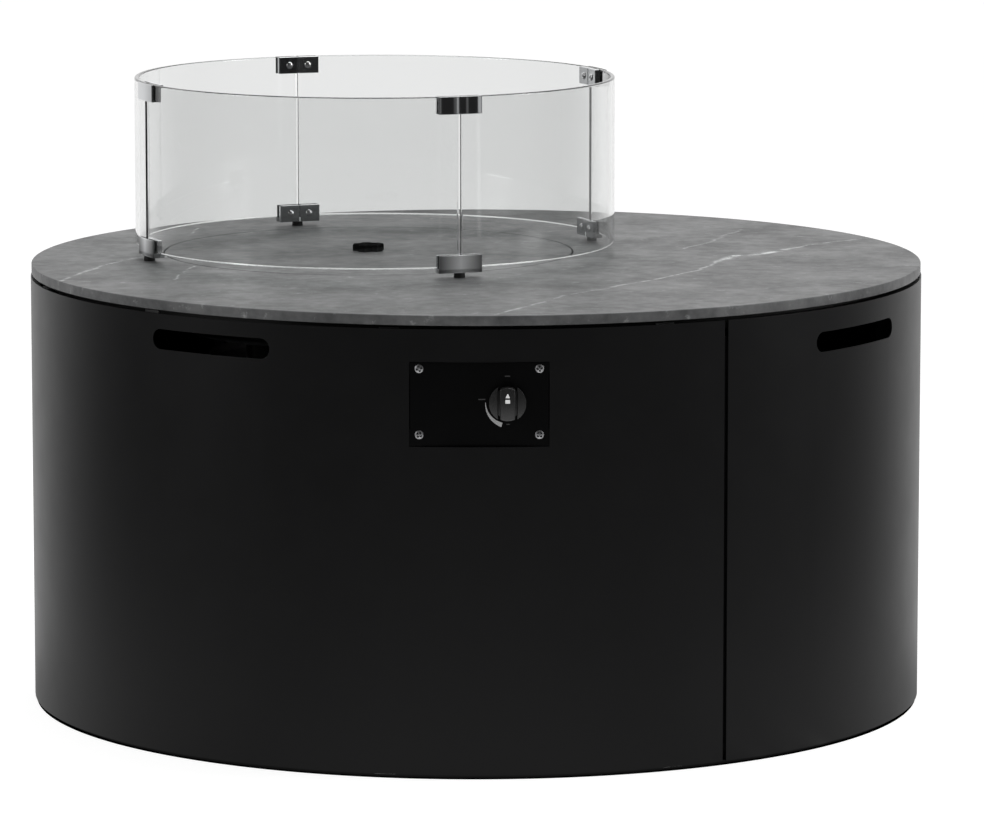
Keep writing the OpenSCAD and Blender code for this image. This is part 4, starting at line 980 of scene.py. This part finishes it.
def clip_wings(joint, low, high):
    """A clip's two flat wings, which stand as chords inside the glass, and the web to its plate."""
    wing = rolled_box((-WING_WIDTH / 2, -WING_FACE, low), (WING_WIDTH / 2, WING_T - WING_FACE, high),
                      WING_ROLL, (6, 2, 4))
    turn = (CLIP_HALF + CHANNEL / 2) / 2 / GLASS_OUT
    web_half = JOINT_GAP / 2 - WEB_SLACK
    web = rolled_box((-web_half, PLATE_T / 2 - PLATE_OUT, low + WEB_INSET),
                     (web_half, WING_T / 2 - WING_FACE, high - WEB_INSET), WEB_ROLL, (1, 4, 1))
    return joined(swung(wing, joint - turn), swung(wing, joint + turn), swung(web, joint))


high_clips = joined(*[make(joint, *TOP_SPAN) for joint in JOINTS for make in (clip_plate, clip_wings)])
new_piece("upper_clips", high_clips, POLISHED, "guard", stands_for=["clips_top"])
low_plates = joined(*[clip_plate(joint, *LOW_SPAN, GLASS_LOW - LINER_T) for joint in JOINTS])
plates = new_piece("lower_clips", low_plates, SATIN, "guard", stands_for=["clips_bottom"]).data
# how far each point lies from the clip's middle, read by the painted shade towards the plate's ends
across = plates.attributes.new("across", "FLOAT", "POINT")
across.data.foreach_set("value", (from_joint(points_of(plates)) / CLIP_HALF).astype(np.float32))
low_wings = joined(*[clip_wings(joint, *LOW_SPAN) for joint in JOINTS])
new_piece("lower_clip_wings", low_wings, POLISHED, "guard")

# %% Clip screws
SCREW_SPACING = 26 * MM
HEAD_RADIUS = 4.5 * MM
HEAD_HEIGHT = 2.1 * MM
SOCKET_RADIUS = 1.45 * MM
PIT_HEIGHT = HEAD_HEIGHT * 0.35
PIT_TIP = HEAD_HEIGHT * 0.10
SHANK_RADIUS = 2.4 * MM
SHANK_LENGTH = 9 * MM


def button_head():
    """A button head that faces inwards, along y: a section with the dome, the hexagon socket seen as
    a round pit, and a shank behind, turned about its axis."""
    dome = [(HEAD_RADIUS * np.cos(a), HEAD_HEIGHT * np.sin(a)) for a in np.radians(np.linspace(8, 66, 9))]
    shank = [(0, -SHANK_LENGTH), (SHANK_RADIUS, -SHANK_LENGTH), (SHANK_RADIUS, 0), (HEAD_RADIUS * 0.98, 0)]
    pit = [(SOCKET_RADIUS, HEAD_HEIGHT * 0.95), (SOCKET_RADIUS, PIT_HEIGHT), (0, PIT_HEIGHT - PIT_TIP)]
    points, faces = turned_section(shank + dome + pit, 48)
    return points[:, [0, 2, 1]], faces


head = button_head()
face_at = math.sqrt(CLIP_IN ** 2 - (CLIP_HALF / 2) ** 2) - WING_T
half_turn = SCREW_SPACING / 2 / GLASS_OUT
heads = []
for height in (sum(TOP_SPAN) / 2, sum(LOW_SPAN) / 2):
    placed = moved(head, (0, -face_at, height))
    heads += [swung(placed, joint + turn) for joint in JOINTS for turn in (-half_turn, half_turn)]
new_piece("button_screws", joined(*heads), BRIGHT, "guard", stands_for=["clip_screws"])
print(len(heads), "button heads")

# %% Feet
FOOT_RADIUS = 7.0 * MM
FOOT_EDGE = 0.8 * MM
FOOT_HOLD = 1.2 * MM
FOOT_TAPER = 0.5 * MM
FOOT_AT = (GLASS_IN + GLASS_OUT) / 2
FOOT_LOW, _ = span(corners_of("guard_feet"), 2)
FOOT_TALL = LOW_SPAN[0] - FOOT_LOW

section = [(0, 0), (FOOT_RADIUS - FOOT_HOLD, 0)]
section += corner_arc((FOOT_RADIUS - FOOT_EDGE, FOOT_EDGE), FOOT_EDGE, -90, 0)
section += [(FOOT_RADIUS - FOOT_TAPER, FOOT_TALL), (0, FOOT_TALL)]
placed = moved(turned_section(section, 64), (0, -FOOT_AT, FOOT_LOW))
new_piece("rubber_feet", joined(*[swung(placed, joint) for joint in JOINTS]), RUBBER, "guard",
          stands_for=["guard_feet"])
print("rubber feet", round(2 * FOOT_RADIUS / MM, 1), "mm across")

# %% [markdown]
# ## Control plate and knob
#
# The knob is a disc with a bar to grip between two raised flanks. Bar and flanks are rolled boxes
# whose ends are drawn in to a circle, which keeps their edges round all the way.

# %% Knob
knob_points = corners_of("control_knob")
KNOB_AT = (knob_points.min(axis=0) + knob_points.max(axis=0)) / 2
KNOB_FRONT, KNOB_BACK = span(knob_points, 1)
KNOB_RADIUS = np.ptp(knob_points[:, 0]) / 2
KNOB_DEPTH = KNOB_BACK - KNOB_FRONT
PRINT_T = 0.08 * MM
BASE_DEPTH = KNOB_DEPTH * 0.16
BASE_RADIUS = KNOB_RADIUS * 0.82
BASE_FOOT = 0.4 * MM
BASE_ROLL = 0.8 * MM
BAR_WIDTH = 17.0 * MM
BAR_RADIUS = KNOB_RADIUS * 0.9
BAR_DEPTH = KNOB_DEPTH - PRINT_T
BAR_ROLL = 1.3 * MM
FLANK_IN = BAR_WIDTH / 2 + 2.6 * MM
FLANK_OUT = KNOB_RADIUS * 0.99
FLANK_DEPTH = KNOB_DEPTH * 0.4
FLANK_ROLL = 0.8 * MM
BULGE = 1.6 * MM


def fallen(reach):
    """How far a front that bulges falls back at a reach from 0 in the middle to 1 at the rim."""
    return BULGE * reach ** 2


def squeezed(low, high, roll, counts, radius):
    """A rolled box whose height is drawn in to a circle: y is multiplied by the root of one minus the
    square of x over the radius. Then the front falls back towards the circle's rim."""
    points, faces = rolled_box(low, high, roll, counts, turns=5)
    points[:, 1] *= np.sqrt(1 - (points[:, 0] / radius) ** 2)
    points[:, 2] -= fallen(points[:, 1] / radius) * (points[:, 2] - low[2]) / (high[2] - low[2])
    return points, faces


section = [(0, 0), (BASE_RADIUS - BASE_FOOT, 0), (BASE_RADIUS, BASE_FOOT)]
section += corner_arc((BASE_RADIUS - BASE_ROLL, BASE_DEPTH - BASE_ROLL), BASE_ROLL, 0, 90)
section += [(0, BASE_DEPTH)]
parts = [turned_section(section, 128),
         squeezed((-BAR_WIDTH / 2, -BAR_RADIUS, BASE_DEPTH / 2), (BAR_WIDTH / 2, BAR_RADIUS, BAR_DEPTH),
                  BAR_ROLL, (12, 24, 4), BAR_RADIUS)]
for low, high in ((-FLANK_OUT, -FLANK_IN), (FLANK_IN, FLANK_OUT)):
    parts.append(squeezed((low, -KNOB_RADIUS, BASE_DEPTH / 2), (high, KNOB_RADIUS, FLANK_DEPTH),
                          FLANK_ROLL, (10, 16, 2), KNOB_RADIUS))
knob_form = facing_front(joined(*parts), (KNOB_AT[0], KNOB_BACK, KNOB_AT[2]))
new_piece("knob_form", knob_form, KNOB_PLASTIC, "knob", stands_for=["control_knob"])
print("knob", round(2 * KNOB_RADIUS / MM, 1), "mm across")

# %% [markdown]
# ## Prints
#
# A white arrowhead and a small block are printed on the bar. On the plate a sickle grows from low to
# high flame, and three plain strokes mark the knob's positions. Each print is a band between two
# lines of points, closed all round, that stands a few hundredths of a millimetre proud: thick
# enough to be a real form, and too thin to cast a shadow.

# %% Prints
PLATE_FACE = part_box("control_plate")[0][1]
BAR_FACE = KNOB_FRONT + PRINT_T
# all in millimetres from the knob's axis, to the right and up. Each mark has its lower line, its
# upper line, and the height at which it lies on the bar's rounded front
ARROW = [(-2.9, 7.0), (2.9, 7.0)], [(-0.5, 12.6), (0.5, 12.6)], 9.0
BLOCK = [(-2.7, 1.6), (2.7, 1.6)], [(-2.7, 5.9), (2.7, 5.9)], 3.8
# each stroke: its middle, its height and its half length
STROKES = ((0.0, 30.6, 3.2), (-29.6, 3.6, 4.0), (0.6, -25.4, 2.0))
STROKE_HALF = 0.6
SICKLE_DEG = (180, 256)
SICKLE_START = 25.0
SICKLE_DRIFT = 0.8
SICKLE_THIN = 0.7
SICKLE_GROWTH = 4.6


def print_strip(inner, outer, face):
    """A printed band between two lines of as many (x, z) points in millimetres about the knob's axis,
    standing PRINT_T proud of a face that looks to the front, and closed front, back and ends."""
    lines = np.array([inner, outer]) * MM
    count = lines.shape[1]
    east, tall = KNOB_AT[0] + lines[..., 0], KNOB_AT[2] + lines[..., 1]
    shell = [(east[0], face - PRINT_T, tall[0]), (east[1], face - PRINT_T, tall[1]),
             (east[1], face + PRINT_T, tall[1]), (east[0], face + PRINT_T, tall[0])]
    rings = np.stack([np.stack([x, np.full(count, y), z], axis=1) for x, y, z in shell], axis=1)
    painted_end_shade = np.arange(4) + [[0], [4 * count - 4]]
    return rings.reshape(-1, 3), np.concatenate([grid_faces(count, 4, closed=True), painted_end_shade])


marks = []
for lower_line, upper_line, at in (ARROW, BLOCK):
    marks.append(print_strip(lower_line, upper_line, BAR_FACE + fallen(at * MM / BAR_RADIUS)))
new_piece("knob_print", joined(*marks), WHITE_INK, "knob")

grow = np.linspace(0, 1, 33)
turn = np.radians(SICKLE_DEG[0] + (SICKLE_DEG[1] - SICKLE_DEG[0]) * grow)
near = SICKLE_START - SICKLE_DRIFT * grow
far = near + SICKLE_THIN + SICKLE_GROWTH * grow ** 1.15
sickle = [np.stack([radius * np.cos(turn), radius * np.sin(turn)], axis=1) for radius in (near, far)]
new_piece("plate_print", print_strip(*sickle, PLATE_FACE), GREY_INK, "root")

strokes = []
for east, tall, half in STROKES:
    lines = [[(east - half, tall + up), (east + half, tall + up)] for up in (-STROKE_HALF, STROKE_HALF)]
    strokes.append(print_strip(*lines, PLATE_FACE))
new_piece("plate_ticks", joined(*strokes), DIM_INK, "root")
print("prints made:", len(marks), "marks, a sickle and", len(strokes), "strokes")

# %% [markdown]
# ## Plate screws
#
# Four screws with low domed heads and a pressed cross hold the plate. The dome is a height over
# polar rings, and the cross is taken away from that height, so it needs no cutting of one mesh with
# another. A hand turns each screw as far as it goes, so no two crosses stand alike.

# %% Plate screws
CROSS_WIDTH = 2.1 * MM
CROSS_REACH = 3.7 * MM
CROSS_DEPTH = 2.0 * MM
CROSS_RAMP = 0.25 * MM
SCREW_RADIUS = 5.0 * MM
SCREW_DOME = 1.7 * MM
SCREW_SUNK = 0.3 * MM
SCREW_BASE = 1.5 * MM
# how far the lower and the upper screw of each side are turned, left side first
TWISTS_DEG = ((55, 20), (43, 8))


def cross_screw(rings=48, count=144):
    """A dome over polar rings, height one minus the square of the distance, with a cross pressed in. The
    cross is the greater of two bars, each a product of two steep ramps, so its walls slope a little."""
    distance = np.linspace(0, 1, rings) ** 0.8 * SCREW_RADIUS
    angles = full_circle(count)
    east, north = np.outer(distance, np.cos(angles)), np.outer(distance, np.sin(angles))
    dome = SCREW_DOME * (1 - (distance / SCREW_RADIUS) ** 2)[:, None] * np.ones(count)
    wide, tall = np.abs(east), np.abs(north)
    bars = [np.clip((CROSS_WIDTH / 2 - a) / CROSS_RAMP + 0.5, 0, 1)
            * np.clip((CROSS_REACH - b) / CROSS_RAMP / 3, 0, 1) for a, b in ((wide, tall), (tall, wide))]
    height = dome - CROSS_DEPTH * np.maximum(*bars)
    top = np.stack([east, north, height], axis=-1).reshape(-1, 3)
    rim = top[-count:] - (0, 0, SCREW_SUNK)
    base = rim - (0, 0, SCREW_BASE)
    centre = np.repeat([[0, 0, base[0, 2]]], count, axis=0)
    return np.concatenate([top, rim, base, centre]), grid_faces(rings + 3, count, closed=True)


screw_points = corners_of("plate_screws")
heads = screw_points[screw_points[:, 1] < span(screw_points, 1)[0] + 1 * MM]
left, right = span(heads, 0)
bottom, top = span(heads, 2)
half = np.ptp(heads[heads[:, 0] < 0][:, 0]) / 2
dome = cross_screw()
screws = []
for east, twists in zip((left + half, right - half), TWISTS_DEG):
    for tall, twist in zip((bottom + half, top - half), twists):
        turned = swung(dome, math.radians(twist), axis=(0, 0))
        screws.append(facing_front(turned, (east, PLATE_FACE - SCREW_SUNK, tall)))
new_piece("cross_screws", joined(*screws), SCREW_METAL, "root", stands_for=["plate_screws"])
print(len(screws), "cross-head screws")

# %% [markdown]
# ## Dressing the CAD nodes
#
# The record says which slot each node's finish comes from, so one table from slot to material
# dresses the whole model. The polished and the brushed clips share a slot: their new pieces above
# already hold their own finishes.

# %% Dress
FINISHES = {
    "stone": STONE, "powder": POWDER, "frame": FRAME_PAINT, "steel": ZINC, "bright": BRIGHT,
    "clip": POLISHED, "glass": GLASS, "rubber": RUBBER, "magnet": MAGNET, "handle": HANDLE,
    "knob": KNOB_PLASTIC, "plate": ENAMEL, "brass": BRASS, "copper": COPPER,
}
for row in frame["record"]["subparts"]:
    node = frame["nodes"][row["node"]]
    if not node.material_slots:
        node.data.materials.append(None)
    for holder in node.material_slots:
        holder.material = FINISHES[row["material_slot"]]
